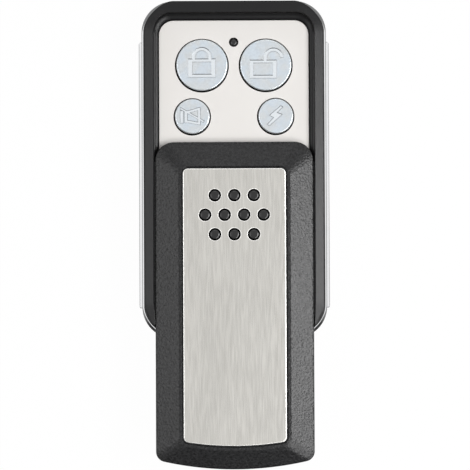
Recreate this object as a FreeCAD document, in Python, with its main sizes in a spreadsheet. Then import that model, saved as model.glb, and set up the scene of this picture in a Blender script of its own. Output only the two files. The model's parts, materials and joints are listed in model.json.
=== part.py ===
import FreeCAD, Part
import math
import os
import Sketcher

# Garage door remote with a sliding cover, in millimetres.
# The case lies on its back: the origin is the middle of the back face, +Z points to the buttons, +Y to the
# indicator end and X goes across. The cover is shown slid down, which bares the buttons.

SIZES = [
    # case
    ("body_width", 35.7, "across the bright band, without its rails"),
    ("body_length", 65.6, "along the bright band"),
    ("body_corner", 6.0, "corner radius of the band, seen from the front"),
    ("shell_inset", 0.35, "how far both shells stand inside the band"),
    ("floor_thickness", 1.3, "floor of the rear shell and the battery door"),
    ("back_edge", 1.1, "rounding of the back's edge"),
    ("front_edge", 0.35, "rounding of the front's outer edge"),
    ("band_height", 3.5, "height of the bright band"),
    ("band_wall", 1.2, "wall of the bright band"),
    ("band_edge", 0.2, "bevel of the band's edges"),
    ("lip_gap", 0.08, "clearance of the shells' lips inside the band"),
    ("lip_wall", 1.0, "wall of the shells' lips"),
    ("lip_height", 1.7, "height of the rear shell's lip"),
    ("lip_meeting", 0.1, "gap between the two lips"),
    # grip rails
    ("rail_proud", 0.7, "how far a rail stands out of the band"),
    ("rail_margin", 0.4, "band left bare above and below a rail"),
    ("rail_top", 24.9, "upper end of the rails"),
    ("rail_bottom", 27.0, "lower end of the rails, below the origin"),
    ("rail_edge", 0.4, "rounding of the rails"),
    # front recess
    ("rim_width", 1.825, "flat rim on each side of the recess"),
    ("top_rim", 2.25, "rim above the recess"),
    ("recess_corner", 3.7, "upper corners of the recess"),
    ("rim_edge", 0.15, "bevel of the rim's inner edge"),
    ("ledge_edge", 0.1, "bevel of the ledge and of its second step"),
    ("well_depth", 2.1, "rim top to the floor of the recess"),
    ("deck_thickness", 1.7, "floor of the recess"),
    ("deck_recess", 0.8, "hollow of the front shell below its deck"),
    ("ledge_depth", 1.6, "rim top to the ledge that the cover runs on"),
    ("ledge_width", 0.5, "the ledge"),
    ("step_width", 0.475, "second step of the ledge"),
    ("step_drop", 0.25, "height of the second step"),
    ("groove_depth", 0.6, "undercut groove in each rim"),
    ("groove_height", 0.75, "opening of the groove"),
    ("groove_end", 3.55, "solid end of the groove at the lower end"),
    # key plate
    ("key_plate_thickness", 0.5, "plate round the buttons"),
    ("key_plate_length", 30.85, "along Y"),
    ("key_plate_gap", 0.15, "gap round the key plate"),
    ("key_plate_end_gap", 0.375, "gap between the key plate and the ledge above it"),
    ("key_plate_edge", 0.1, "bevel of the key plate's outer edge"),
    ("key_plate_corner", 2.9, "corner radius"),
    # buttons
    ("large_hole", 10.5, "hole for a large button"),
    ("small_hole", 7.3, "hole for a small button"),
    ("cap_gap", 0.16, "radial gap round a cap"),
    ("cap_rise", 0.4, "cap above the key plate"),
    ("cap_edge", 0.2, "bevel of a cap"),
    ("large_reach", 6.2, "large buttons from the middle"),
    ("large_drop", 8.79, "large buttons below the key plate's upper edge"),
    ("small_reach", 8.1, "small buttons from the middle"),
    ("small_drop", 18.75, "small buttons below the key plate's upper edge"),
    ("flange_width", 0.6, "flange that keeps a cap in its hole"),
    ("flange_thickness", 0.8, "the same flange"),
    ("flange_gap", 0.1, "flange below the deck"),
    ("stem_length", 0.3, "stem under a button"),
    # indicator
    ("guide_drop", 4.25, "indicator below the key plate's upper edge"),
    ("guide_hole", 1.85, "hole of the indicator"),
    ("guide_gap", 0.05, "radial gap round the light guide"),
    ("guide_flange", 2.8, "diameter of the guide's flange"),
    ("guide_flange_height", 0.9, "the same flange"),
    ("guide_sink", 0.1, "top of the guide below the key plate"),
    # switches
    ("switch_width", 6.0, "square housing of a push switch"),
    ("switch_height", 1.9, "the same housing"),
    ("switch_bore", 3.6, "hole of the switch for its plunger"),
    ("switch_floor", 0.4, "bottom of the switch housing"),
    ("frame_thickness", 0.2, "sheet metal frame of the switch"),
    ("frame_inset", 0.15, "frame inside the housing's outline"),
    ("plunger_gap", 0.2, "radial gap round the plunger"),
    ("plunger_rise", 0.5, "plunger above the frame"),
    ("plunger_float", 0.6, "space under the plunger"),
    # circuit board
    ("board_thickness", 1.0, "circuit board"),
    ("board_gap", 0.27, "gap round the circuit board"),
    ("board_end_gap", 0.32, "gap to the bay's partition"),
    ("board_hole_gap", 0.25, "radial gap round a screw"),
    # bosses and screws
    ("boss_side_inset", 2.6, "bosses from the inner side wall"),
    ("boss_end_inset", 3.75, "bosses from the inner end wall"),
    ("boss_diameter", 5.0, "rear bosses"),
    ("pilot_diameter", 4.6, "front bosses"),
    ("screw_diameter", 1.9, "shank of a case screw"),
    ("screw_gap", 0.05, "radial gap round a shank"),
    ("screw_bite", 3.0, "how far a shank enters the front boss"),
    ("head_diameter", 3.6, "head of a case screw"),
    ("head_height", 1.2, "the same head"),
    ("head_sink", 0.6, "head below the back face"),
    ("head_gap", 0.2, "radial gap round a head"),
    # battery bay
    ("battery_diameter", 8.0, "12 V cell"),
    ("battery_length", 28.0, "the same cell, with its button"),
    ("battery_nub", 0.7, "button of the cell"),
    ("battery_nub_diameter", 3.6, "the same button"),
    ("battery_edge", 0.4, "bevel of the can's rims"),
    ("battery_floor_gap", 0.3, "cell above the door"),
    ("battery_top_gap", 0.2, "cell below the deck"),
    ("bay_side_gap", 1.2, "bay wall to cell"),
    ("bay_wall", 1.9, "walls of the bay"),
    ("bay_wall_height", 5.7, "the same walls, above the floor"),
    ("bay_wall_end", 0.6, "slot between bay wall and end wall"),
    ("partition_thickness", 1.0, "wall behind the plus contact"),
    ("partition_drop", 0.4, "top of that wall below the top of the cell"),
    ("cradle_width", 1.2, "ribs above the cell"),
    ("cradle_reach", 3.7, "how far these ribs come down"),
    ("cradle_gap", 0.1, "ribs clear of the cell"),
    ("cradle_spacing", 16.0, "from one rib to the other"),
    ("contact_thickness", 0.3, "sheet metal of the contacts"),
    ("contact_width", 7.0, "plate of a contact"),
    ("contact_tab", 2.0, "tab of a contact"),
    ("spring_length", 2.2, "battery spring as pressed by the cell"),
    ("spring_wire", 0.4, "wire of the battery spring"),
    ("spring_face_gap", 0.03, "spring to what it rests on at either end"),
    ("spring_diameter", 5.2, "mean diameter of its coil"),
    # battery door
    ("door_gap", 0.1, "gap round the battery door"),
    ("door_end_gap", 0.12, "gap at the door's inner end"),
    ("door_skin", 0.65, "door below its side tongues"),
    ("door_tongue", 0.8, "side tongues of the door"),
    ("door_cover", 1.3, "door beyond the cell's upper end"),
    ("door_groove_gap", 0.1, "groove above the tongues"),
    ("grip_length", 6.0, "finger grooves of the door"),
    ("grip_width", 0.5, "the same grooves"),
    ("grip_depth", 0.25, "the same grooves"),
    ("grip_spacing", 1.2, "from groove to groove"),
    ("grip_start", 4.2, "last groove from the door's end"),
    # slide cover
    ("cover_travel", 24.9, "from open to shut"),
    ("cover_length", 63.2, "along the middle"),
    ("cover_side_gap", 0.375, "cover to rim"),
    ("cover_lift", 0.1, "cover above the ledge"),
    ("cover_side_height", 1.2, "upright sides"),
    ("cover_rise", 1.5, "from the sides up to the crown"),
    ("cover_bulge", 63.0, "radius of the lower edge"),
    ("cover_top_corner", 3.7, "upper corners"),
    ("cover_bottom_corner", 2.0, "lower corners"),
    ("cover_edge", 0.3, "rounding between side and slope"),
    ("hip_side", 4.45, "slope at each long side"),
    ("hip_top", 4.85, "slope at the upper end"),
    ("hip_bottom", 4.25, "slope at the lower end"),
    ("cover_wall", 1.4, "skirt of the cover"),
    ("cover_roof", 1.6, "crown above the hollow"),
    ("sweep_clearance", 0.3, "end walls above the skirt, to pass the buttons"),
    ("stop_gap", 0.2, "cover and tongues at either stop"),
    ("tongue_setback", 3.8, "tongue's upper end below the cover's edge"),
    ("tongue_side_gap", 0.15, "tongue to the groove's bottom"),
    ("tongue_gap", 0.1, "tongue to the groove's upper face"),
    # plate on the cover
    ("crown_margin", 0.65, "crown beside the plate"),
    ("crown_end_margin", 0.05, "crown above and below the plate"),
    ("plate_gap", 0.25, "gap round the metal plate"),
    ("plate_depth", 0.5, "seat of the metal plate"),
    ("plate_thickness", 0.55, "metal plate"),
    ("plate_corner", 1.0, "corners of the metal plate"),
    ("plate_edge", 0.12, "bevel of the metal plate"),
    ("grip_hole", 2.38, "grip holes in the plate"),
    ("grip_pitch", 3.76, "from hole to hole, and from row to row"),
    ("grip_drop", 9.0, "middle row below the plate's upper edge"),
    ("peg_gap", 0.24, "radial gap round a peg"),
    ("peg_rise", 0.15, "peg above the plate"),
    ("peg_edge", 0.2, "bevel of a peg"),
    # parts on the board
    ("chip_length", 5.0, "encoder chip"),
    ("chip_width", 4.0, "encoder chip"),
    ("chip_height", 1.5, "encoder chip"),
    ("can_diameter", 7.4, "resonator can"),
    ("can_height", 2.9, "resonator can"),
    ("trimmer_width", 3.2, "trimmer"),
    ("trimmer_height", 1.2, "trimmer"),
    ("chip_part_length", 1.6, "resistors and capacitors"),
    ("chip_part_width", 0.8, "resistors and capacitors"),
    ("chip_part_height", 0.5, "resistors and capacitors"),
    ("coil_wire", 0.45, "antenna coil"),
    ("coil_diameter", 2.2, "mean diameter of the antenna coil"),
    ("coil_length", 4.5, "antenna coil"),
    # drawing aid
    ("cut_margin", 1.0, "how far a cut runs past the solid it opens"),
]

SPRING_TURNS = 2
ANTENNA_TURNS = 4
WIRE_SIDES = 6
CHIPS_IN_ROW = 5
DOOR_GRIPS = 3


class Size:
    """A length that knows both its number and the sheet formula that gives it."""

    def __init__(self, text, number):
        self.text = text
        self.number = number

    def joined(self, sign, other, number):
        return Size(f"({self.text} {sign} {other.text})", number)

    def __add__(self, other):
        other = as_size(other)
        return self.joined("+", other, self.number + other.number)

    def __sub__(self, other):
        other = as_size(other)
        return self.joined("-", other, self.number - other.number)

    def __mul__(self, other):
        other = as_size(other)
        return self.joined("*", other, self.number * other.number)

    def __truediv__(self, other):
        other = as_size(other)
        return self.joined("/", other, self.number / other.number)

    def __neg__(self):
        return Size(f"(0 - {self.text})", -self.number)

    def __radd__(self, other):
        return as_size(other) + self

    def __rsub__(self, other):
        return as_size(other) - self

    def __rmul__(self, other):
        return as_size(other) * self


def as_size(value):
    return value if isinstance(value, Size) else Size(str(value), float(value))


class Sheet:
    """The driving sizes: one row and one alias each, read back as Size objects."""

    def __init__(self, doc, rows):
        sheet = doc.addObject("Spreadsheet::Sheet", "Sizes")
        for row, (alias, number, note) in enumerate(rows, start=1):
            sheet.set(f"A{row}", alias)
            sheet.set(f"B{row}", str(number))
            sheet.set(f"C{row}", note)
            sheet.setAlias(f"B{row}", alias)
            setattr(self, alias, Size(f"Sizes.{alias}", number))


doc = FreeCAD.newDocument("garage_door_remote")
S = Sheet(doc, SIZES)
doc.recompute()
ZERO = as_size(0)
pieces = []


# Heights, all measured from the back face

z_cell_axis = S.floor_thickness + S.battery_floor_gap + S.battery_diameter / 2
z_deck_under = z_cell_axis + S.battery_diameter / 2 + S.battery_top_gap
z_partition = z_cell_axis + S.battery_diameter / 2 - S.partition_drop
z_deck = z_deck_under + S.deck_thickness
z_rim = z_deck + S.well_depth
z_front = z_deck_under - S.deck_recess
z_band = z_front - S.band_height
z_plate_seat = z_deck - S.key_plate_thickness
z_ledge = z_rim - S.ledge_depth
z_step = z_ledge - S.step_drop
z_cover = z_ledge + S.cover_lift
z_side = z_cover + S.cover_side_height
z_crown = z_side + S.cover_rise
z_flange_top = z_deck_under - S.flange_gap
z_flange = z_flange_top - S.flange_thickness
z_plunger_top = z_flange - S.stem_length
z_switch_frame = z_plunger_top - S.plunger_rise - S.frame_thickness
z_board_top = z_switch_frame - S.switch_height
z_board = z_board_top - S.board_thickness

# Half widths and lengths of the case

band_half_width = S.body_width / 2
band_half_length = S.body_length / 2
shell_half_width = band_half_width - S.shell_inset
shell_half_length = band_half_length - S.shell_inset
lip_half_width = band_half_width - S.band_wall - S.lip_gap
lip_half_length = band_half_length - S.band_wall - S.lip_gap
inner_half_width = lip_half_width - S.lip_wall
inner_half_length = lip_half_length - S.lip_wall
lip_corner = S.body_corner - S.band_wall - S.lip_gap
inner_corner = lip_corner - S.lip_wall

# Recess and cover, seen from the front

recess_half_width = shell_half_width - S.rim_width
ledge_half_width = recess_half_width - S.ledge_width
well_half_width = ledge_half_width - S.step_width
recess_top = shell_half_length - S.top_rim
ledge_top = recess_top - S.ledge_width
well_top = ledge_top - S.step_width
cover_top = recess_top - S.stop_gap - S.cover_travel
cover_half_width = recess_half_width - S.cover_side_gap
bulge_centre = cover_top - S.cover_length + S.cover_bulge
crown_half_width = cover_half_width - S.hip_side
crown_top = cover_top - S.hip_top
crown_bulge = S.cover_bulge - S.hip_bottom
seat_half_width = crown_half_width - S.crown_margin
seat_top = crown_top - S.crown_end_margin
seat_bulge = crown_bulge - S.crown_end_margin
plate_top = seat_top - S.plate_gap
z_plate_floor = z_crown - S.plate_depth
groove_half_width = recess_half_width + S.groove_depth
groove_bottom = S.groove_end - shell_half_length
tongue_bottom = groove_bottom + S.stop_gap
tongue_top = cover_top - S.tongue_setback
groove_top = tongue_top + S.cover_travel + S.stop_gap

# Buttons and indicator, seen from the front

key_plate_top = well_top - S.key_plate_end_gap
large_y = key_plate_top - S.large_drop
small_y = key_plate_top - S.small_drop
guide_y = key_plate_top - S.guide_drop
BUTTONS = [
    ("lock", -S.large_reach, large_y, S.large_hole),
    ("unlock", S.large_reach, large_y, S.large_hole),
    ("mute", -S.small_reach, small_y, S.small_hole),
    ("flash", S.small_reach, small_y, S.small_hole),
]

# Bosses, and the row of parts from the lower end wall up to the circuit board

boss_x = inner_half_width - S.boss_side_inset
boss_y = inner_half_length - S.boss_end_inset
BOSSES = [(sx * boss_x, sy * boss_y) for sx in (-1, 1) for sy in (-1, 1)]
spring_seat = S.contact_thickness - inner_half_length
cell_bottom = spring_seat + S.spring_length
cell_top = cell_bottom + S.battery_length
partition_bottom = cell_top + S.contact_thickness
partition_top = partition_bottom + S.partition_thickness
board_bottom = partition_top + S.board_end_gap
board_top = inner_half_length - S.board_gap
board_middle = (board_top + board_bottom) / 2
bay_half_width = S.battery_diameter / 2 + S.bay_side_gap
door_half_width = bay_half_width - S.door_gap
door_top = cell_top - S.door_cover
door_slot_top = door_top + S.door_end_gap


# Sketch and feature helpers

def origin_plane(body, role):
    return next(feature for feature in body.Origin.OriginFeatures if feature.Role == role)


def bind(obj, path, size):
    obj.setExpression(path, as_size(size).text)


def new_body(label, x=None, y=None, z=None):
    """A sub-part with its own Label, placed by the sheet."""
    body = doc.addObject("PartDesign::Body", label)
    body.Label = label
    for axis, size in (("x", x), ("y", y), ("z", z)):
        if size is not None:
            bind(body, f"Placement.Base.{axis}", size)
    pieces.append(body)
    return body


def new_sketch(body, name, role="XY_Plane", x=None, y=None, z=None):
    sketch = body.newObject("Sketcher::SketchObject", f"{body.Label}_{name}_sketch")
    sketch.AttachmentSupport = (origin_plane(body, role), [""])
    sketch.MapMode = "FlatFace"
    for axis, size in (("x", x), ("y", y), ("z", z)):
        if size is not None:
            bind(sketch, f"AttachmentOffset.Base.{axis}", size)
    return sketch


def constrain(sketch, kind, *references):
    sketch.addConstraint(Sketcher.Constraint(kind, *references))


def dimension(sketch, name, size, kind, *references):
    size = as_size(size)
    index = sketch.addConstraint(Sketcher.Constraint(kind, *references, size.number))
    sketch.renameConstraint(index, name)
    bind(sketch, f"Constraints.{name}", size)


def add_line(sketch, start, end):
    vector_start = FreeCAD.Vector(start[0], start[1], 0)
    vector_end = FreeCAD.Vector(end[0], end[1], 0)
    return sketch.addGeometry(Part.LineSegment(vector_start, vector_end))


def add_arc(sketch, centre, radius, start_degrees, end_degrees):
    circle = Part.Circle(FreeCAD.Vector(centre[0], centre[1], 0), FreeCAD.Vector(0, 0, 1), radius)
    return sketch.addGeometry(
        Part.ArcOfCircle(circle, math.radians(start_degrees), math.radians(end_degrees))
    )


def draw_polygon(sketch, points):
    """A closed outline whose every corner is placed by the sheet."""
    first = sketch.GeometryCount
    count = len(points)
    points = [(as_size(across), as_size(up)) for across, up in points]
    for index, (across, up) in enumerate(points):
        next_across, next_up = points[(index + 1) % count]
        add_line(sketch, (across.number, up.number), (next_across.number, next_up.number))
    for index, (across, up) in enumerate(points):
        line = first + index
        constrain(sketch, "Coincident", line, 2, first + (index + 1) % count, 1)
        dimension(sketch, f"across_{line}", across, "DistanceX", -1, 1, line, 1)
        dimension(sketch, f"up_{line}", up, "DistanceY", -1, 1, line, 1)


def draw_rectangle(sketch, half_width, half_length, x=ZERO, y=ZERO):
    draw_polygon(
        sketch,
        [
            (x - half_width, y - half_length),
            (x + half_width, y - half_length),
            (x + half_width, y + half_length),
            (x - half_width, y + half_length),
        ],
    )


def draw_span(sketch, x_low, x_high, y_low, y_high):
    draw_polygon(sketch, [(x_low, y_low), (x_high, y_low), (x_high, y_high), (x_low, y_high)])


def draw_circle(sketch, x, y, diameter):
    x = as_size(x)
    y = as_size(y)
    diameter = as_size(diameter)
    centre = FreeCAD.Vector(x.number, y.number, 0)
    circle = sketch.addGeometry(Part.Circle(centre, FreeCAD.Vector(0, 0, 1), diameter.number / 2))
    dimension(sketch, f"circle_{circle}_across", x, "DistanceX", -1, 1, circle, 3)
    dimension(sketch, f"circle_{circle}_up", y, "DistanceY", -1, 1, circle, 3)
    dimension(sketch, f"circle_{circle}_diameter", diameter, "Diameter", circle)


def draw_rounded(sketch, half_width, half_length, radius):
    """A rectangle with round corners about the sketch's origin."""
    w = half_width.number
    l = half_length.number
    r = radius.number
    bottom = add_line(sketch, (r - w, -l), (w - r, -l))
    corner_1 = add_arc(sketch, (w - r, r - l), r, 270, 360)
    right = add_line(sketch, (w, r - l), (w, l - r))
    corner_2 = add_arc(sketch, (w - r, l - r), r, 0, 90)
    top = add_line(sketch, (w - r, l), (r - w, l))
    corner_3 = add_arc(sketch, (r - w, l - r), r, 90, 180)
    left = add_line(sketch, (-w, l - r), (-w, r - l))
    corner_4 = add_arc(sketch, (r - w, r - l), r, 180, 270)
    loop = [bottom, corner_1, right, corner_2, top, corner_3, left, corner_4]
    for first, second in zip(loop, loop[1:] + loop[:1]):
        constrain(sketch, "Tangent", first, 2, second, 1)
    constrain(sketch, "Horizontal", top)
    constrain(sketch, "Vertical", right)
    constrain(sketch, "Symmetric", bottom, 1, bottom, 2, -2)
    constrain(sketch, "Symmetric", left, 1, left, 2, -1)
    for corner in (corner_2, corner_3, corner_4):
        constrain(sketch, "Equal", corner_1, corner)
    dimension(sketch, f"radius_{corner_1}", radius, "Radius", corner_1)
    dimension(sketch, f"width_{right}", half_width, "DistanceX", -1, 1, right, 1)
    dimension(sketch, f"length_{top}", half_length, "DistanceY", -1, 1, top, 1)


def draw_tray(sketch, half_width, top, corner, bottom):
    """Straight sides, round upper corners and a square lower end."""
    w = half_width.number
    t = top.number
    r = corner.number
    b = bottom.number
    base = add_line(sketch, (-w, b), (w, b))
    right = add_line(sketch, (w, b), (w, t - r))
    high_right = add_arc(sketch, (w - r, t - r), r, 0, 90)
    upper = add_line(sketch, (w - r, t), (r - w, t))
    high_left = add_arc(sketch, (r - w, t - r), r, 90, 180)
    left = add_line(sketch, (-w, t - r), (-w, b))
    constrain(sketch, "Coincident", base, 2, right, 1)
    constrain(sketch, "Coincident", left, 2, base, 1)
    round_run = [right, high_right, upper, high_left, left]
    for first, second in zip(round_run, round_run[1:]):
        constrain(sketch, "Tangent", first, 2, second, 1)
    constrain(sketch, "Horizontal", base)
    constrain(sketch, "Horizontal", upper)
    constrain(sketch, "Vertical", left)
    constrain(sketch, "Vertical", right)
    constrain(sketch, "Equal", high_left, high_right)
    dimension(sketch, "corner", corner, "Radius", high_right)
    dimension(sketch, "left_side", -half_width, "DistanceX", -1, 1, left, 1)
    dimension(sketch, "right_side", half_width, "DistanceX", -1, 1, right, 1)
    dimension(sketch, "top_edge", top, "DistanceY", -1, 1, upper, 1)
    dimension(sketch, "lower_end", bottom, "DistanceY", -1, 1, base, 1)


def draw_shield(sketch, half_width, top, centre_y, bulge, top_corner, bottom_corner):
    """Straight top and sides, round corners and a lower edge that bulges about (0, centre_y)."""
    w = half_width.number
    t = top.number
    c = centre_y.number
    big = bulge.number
    rt = top_corner.number
    rb = bottom_corner.number
    low = c - math.sqrt((big - rb) ** 2 - (w - rb) ** 2)
    turn = math.degrees(math.asin((w - rb) / (big - rb)))
    left = add_line(sketch, (-w, t - rt), (-w, low))
    low_left = add_arc(sketch, (rb - w, low), rb, 180, 270 - turn)
    base = add_arc(sketch, (0, c), big, 270 - turn, 270 + turn)
    low_right = add_arc(sketch, (w - rb, low), rb, 270 + turn, 360)
    right = add_line(sketch, (w, low), (w, t - rt))
    high_right = add_arc(sketch, (w - rt, t - rt), rt, 0, 90)
    upper = add_line(sketch, (w - rt, t), (rt - w, t))
    high_left = add_arc(sketch, (rt - w, t - rt), rt, 90, 180)
    loop = [left, low_left, base, low_right, right, high_right, upper, high_left]
    for first, second in zip(loop, loop[1:] + loop[:1]):
        constrain(sketch, "Tangent", first, 2, second, 1)
    constrain(sketch, "Vertical", left)
    constrain(sketch, "Vertical", right)
    constrain(sketch, "Horizontal", upper)
    constrain(sketch, "Equal", low_left, low_right)
    constrain(sketch, "Equal", high_left, high_right)
    constrain(sketch, "PointOnObject", base, 3, -2)
    dimension(sketch, "top_corner", top_corner, "Radius", high_left)
    dimension(sketch, "bottom_corner", bottom_corner, "Radius", low_left)
    dimension(sketch, "bulge", bulge, "Radius", base)
    dimension(sketch, "bulge_centre", centre_y, "DistanceY", -1, 1, base, 3)
    dimension(sketch, "left_side", -half_width, "DistanceX", -1, 1, left, 1)
    dimension(sketch, "right_side", half_width, "DistanceX", -1, 1, right, 1)
    dimension(sketch, "top_edge", top, "DistanceY", -1, 1, upper, 1)


def extrude(kind, body, name, sketch, length, reverse=False, both_ways=False):
    feature = body.newObject(kind, f"{body.Label}_{name}")
    feature.Profile = sketch
    feature.Length = as_size(length).number
    bind(feature, "Length", length)
    feature.Midplane = both_ways
    feature.Reversed = reverse
    return feature


def pad(body, name, sketch, length, **options):
    return extrude("PartDesign::Pad", body, name, sketch, length, **options)


def cut_down(body, name, sketch, length):
    """Removes material below the sketch."""
    return extrude("PartDesign::Pocket", body, name, sketch, length)


def cut_up(body, name, sketch, length):
    """Removes material above the sketch."""
    return extrude("PartDesign::Pocket", body, name, sketch, length, reverse=True)


def cut_across(body, name, sketch, length):
    """Removes material on both sides of the sketch."""
    return extrude("PartDesign::Pocket", body, name, sketch, length, both_ways=True)


def edges_where(feature, wanted):
    """Names of the edges whose bounding box meets the condition."""
    doc.recompute()
    found = [
        f"Edge{number}"
        for number, edge in enumerate(feature.Shape.Edges, start=1)
        if wanted(edge.BoundBox)
    ]
    if not found:
        raise RuntimeError(f"no edge found on {feature.Label}")
    return found


def flat_at(height, tolerance=1e-4):
    """Condition: the edge lies at one height."""
    level = as_size(height).number
    return lambda box: abs(box.ZMin - level) < tolerance and abs(box.ZMax - level) < tolerance


def rim_of(half_width, top, height, tolerance=1e-3):
    """Condition: the edge runs round an opening of this half width and upper end, at one height."""
    flat = flat_at(height)
    side = as_size(half_width).number
    end = as_size(top).number

    def wanted(box):
        from_side = max(box.XMax, -box.XMin) - side
        from_end = box.YMax - end
        meets = abs(from_side) < tolerance or abs(from_end) < tolerance
        return flat(box) and meets and max(from_side, from_end) < tolerance

    return wanted


def dress(kind, body, name, base, size, wanted):
    feature = body.newObject(kind, f"{body.Label}_{name}")
    feature.Base = (base, edges_where(base, wanted))
    path = "Radius" if kind.endswith("Fillet") else "Size"
    setattr(feature, path, as_size(size).number)
    bind(feature, path, size)
    return feature


def fillet(body, name, base, size, wanted):
    return dress("PartDesign::Fillet", body, name, base, size, wanted)


def chamfer(body, name, base, size, wanted):
    return dress("PartDesign::Chamfer", body, name, base, size, wanted)


def turned(body, name, points):
    """A solid of revolution about Z from an outline of radii and heights."""
    sketch = new_sketch(body, name, "XZ_Plane")
    draw_polygon(sketch, points)
    feature = body.newObject("PartDesign::Revolution", f"{body.Label}_{name}")
    feature.Profile = sketch
    feature.ReferenceAxis = (sketch, ["V_Axis"])
    feature.Angle = 360
    return feature


# The case

def make_chrome_band():
    body = new_body("chrome_band", z=z_band)
    outline = new_sketch(body, "outline")
    draw_rounded(outline, band_half_width, band_half_length, S.body_corner)
    ring = pad(body, "ring", outline, S.band_height)
    chamfer(body, "edge", ring, S.band_edge, lambda box: box.ZLength < 1e-4)
    rails = new_sketch(body, "rails", z=S.rail_margin)
    rail_half = band_half_width + S.rail_proud
    draw_span(rails, -rail_half, S.band_wall - band_half_width, -S.rail_bottom, S.rail_top)
    draw_span(rails, band_half_width - S.band_wall, rail_half, -S.rail_bottom, S.rail_top)
    bars = pad(body, "bars", rails, S.band_height - 2 * S.rail_margin)
    outer = rail_half.number - 1e-3
    fillet(
        body,
        "bar_edges",
        bars,
        S.rail_edge,
        lambda box: box.XLength < 1e-4 and max(box.XMax, -box.XMin) > outer,
    )
    inside = new_sketch(body, "inside")
    draw_rounded(
        inside,
        band_half_width - S.band_wall,
        band_half_length - S.band_wall,
        S.body_corner - S.band_wall,
    )
    cut_up(body, "inside", inside, S.band_height)


def make_rear_shell():
    body = new_body("rear_shell")
    outline = new_sketch(body, "outline")
    draw_rounded(outline, shell_half_width, shell_half_length, S.body_corner - S.shell_inset)
    block = pad(body, "block", outline, z_band)
    fillet(body, "back_edge", block, S.back_edge, flat_at(ZERO))
    lip_outline = new_sketch(body, "lip", z=z_band)
    draw_rounded(lip_outline, lip_half_width, lip_half_length, lip_corner)
    pad(body, "lip", lip_outline, S.lip_height)
    hollow = new_sketch(body, "hollow", z=S.floor_thickness)
    draw_rounded(hollow, inner_half_width, inner_half_length, inner_corner)
    cut_up(body, "hollow", hollow, z_band + S.lip_height - S.floor_thickness)

    # Bosses: the upper pair carries the board, the lower pair meets the front shell's bosses
    upper = new_sketch(body, "upper_bosses", z=S.floor_thickness)
    lower = new_sketch(body, "lower_bosses", z=S.floor_thickness)
    for x in (-boss_x, boss_x):
        draw_circle(upper, x, boss_y, S.boss_diameter)
        draw_circle(lower, x, -boss_y, S.boss_diameter)
    pad(body, "upper_bosses", upper, z_board - S.floor_thickness)
    pad(body, "lower_bosses", lower, z_board_top - S.floor_thickness)
    rest_posts = new_sketch(body, "rest_posts", z=S.floor_thickness)
    for x in (-boss_x, boss_x):
        draw_circle(rest_posts, x, board_bottom + S.boss_diameter / 2, S.boss_diameter / 2)
    pad(body, "rest_posts", rest_posts, z_board - S.floor_thickness)

    # Battery bay: side walls, and a partition that is narrow where it backs the plus contact
    walls = new_sketch(body, "bay_walls", z=S.floor_thickness)
    bay_outer = bay_half_width + S.bay_wall
    wall_bottom = S.bay_wall_end - inner_half_length
    draw_span(walls, -bay_outer, -bay_half_width, wall_bottom, partition_bottom)
    draw_span(walls, bay_half_width, bay_outer, wall_bottom, partition_bottom)
    pad(body, "bay_walls", walls, S.bay_wall_height)
    partition = new_sketch(body, "partition", z=S.floor_thickness)
    draw_span(partition, -bay_outer, bay_outer, partition_bottom, partition_top)
    pad(body, "partition", partition, z_board - S.floor_thickness)
    backing = new_sketch(body, "contact_backing", z=z_board)
    backing_half = S.contact_width / 2 + S.contact_thickness
    draw_span(backing, -backing_half, backing_half, partition_bottom, partition_top)
    pad(body, "contact_backing", backing, z_partition - z_board)

    # Slot for the battery door, open at the lower end of the case
    below_case = -shell_half_length - S.cut_margin
    skin_slot = new_sketch(body, "door_slot")
    draw_span(skin_slot, -bay_half_width, bay_half_width, below_case, door_slot_top)
    cut_up(body, "door_slot", skin_slot, S.floor_thickness + S.door_groove_gap)
    tongue_slot = new_sketch(body, "tongue_slot", z=S.door_skin - S.door_groove_gap)
    tongue_half = bay_half_width + S.door_tongue
    draw_span(tongue_slot, -tongue_half, tongue_half, below_case, door_slot_top)
    tongue_height = S.floor_thickness - S.door_skin + 2 * S.door_groove_gap
    cut_up(body, "tongue_slot", tongue_slot, tongue_height)

    # Screw holes from the back
    heads = new_sketch(body, "head_seats")
    shanks = new_sketch(body, "shank_holes")
    for x, y in BOSSES:
        draw_circle(heads, x, y, S.head_diameter + 2 * S.head_gap)
        draw_circle(shanks, x, y, S.screw_diameter + 2 * S.screw_gap)
    cut_up(body, "head_seats", heads, S.head_sink + S.head_height)
    cut_up(body, "shank_holes", shanks, z_board_top)


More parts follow.
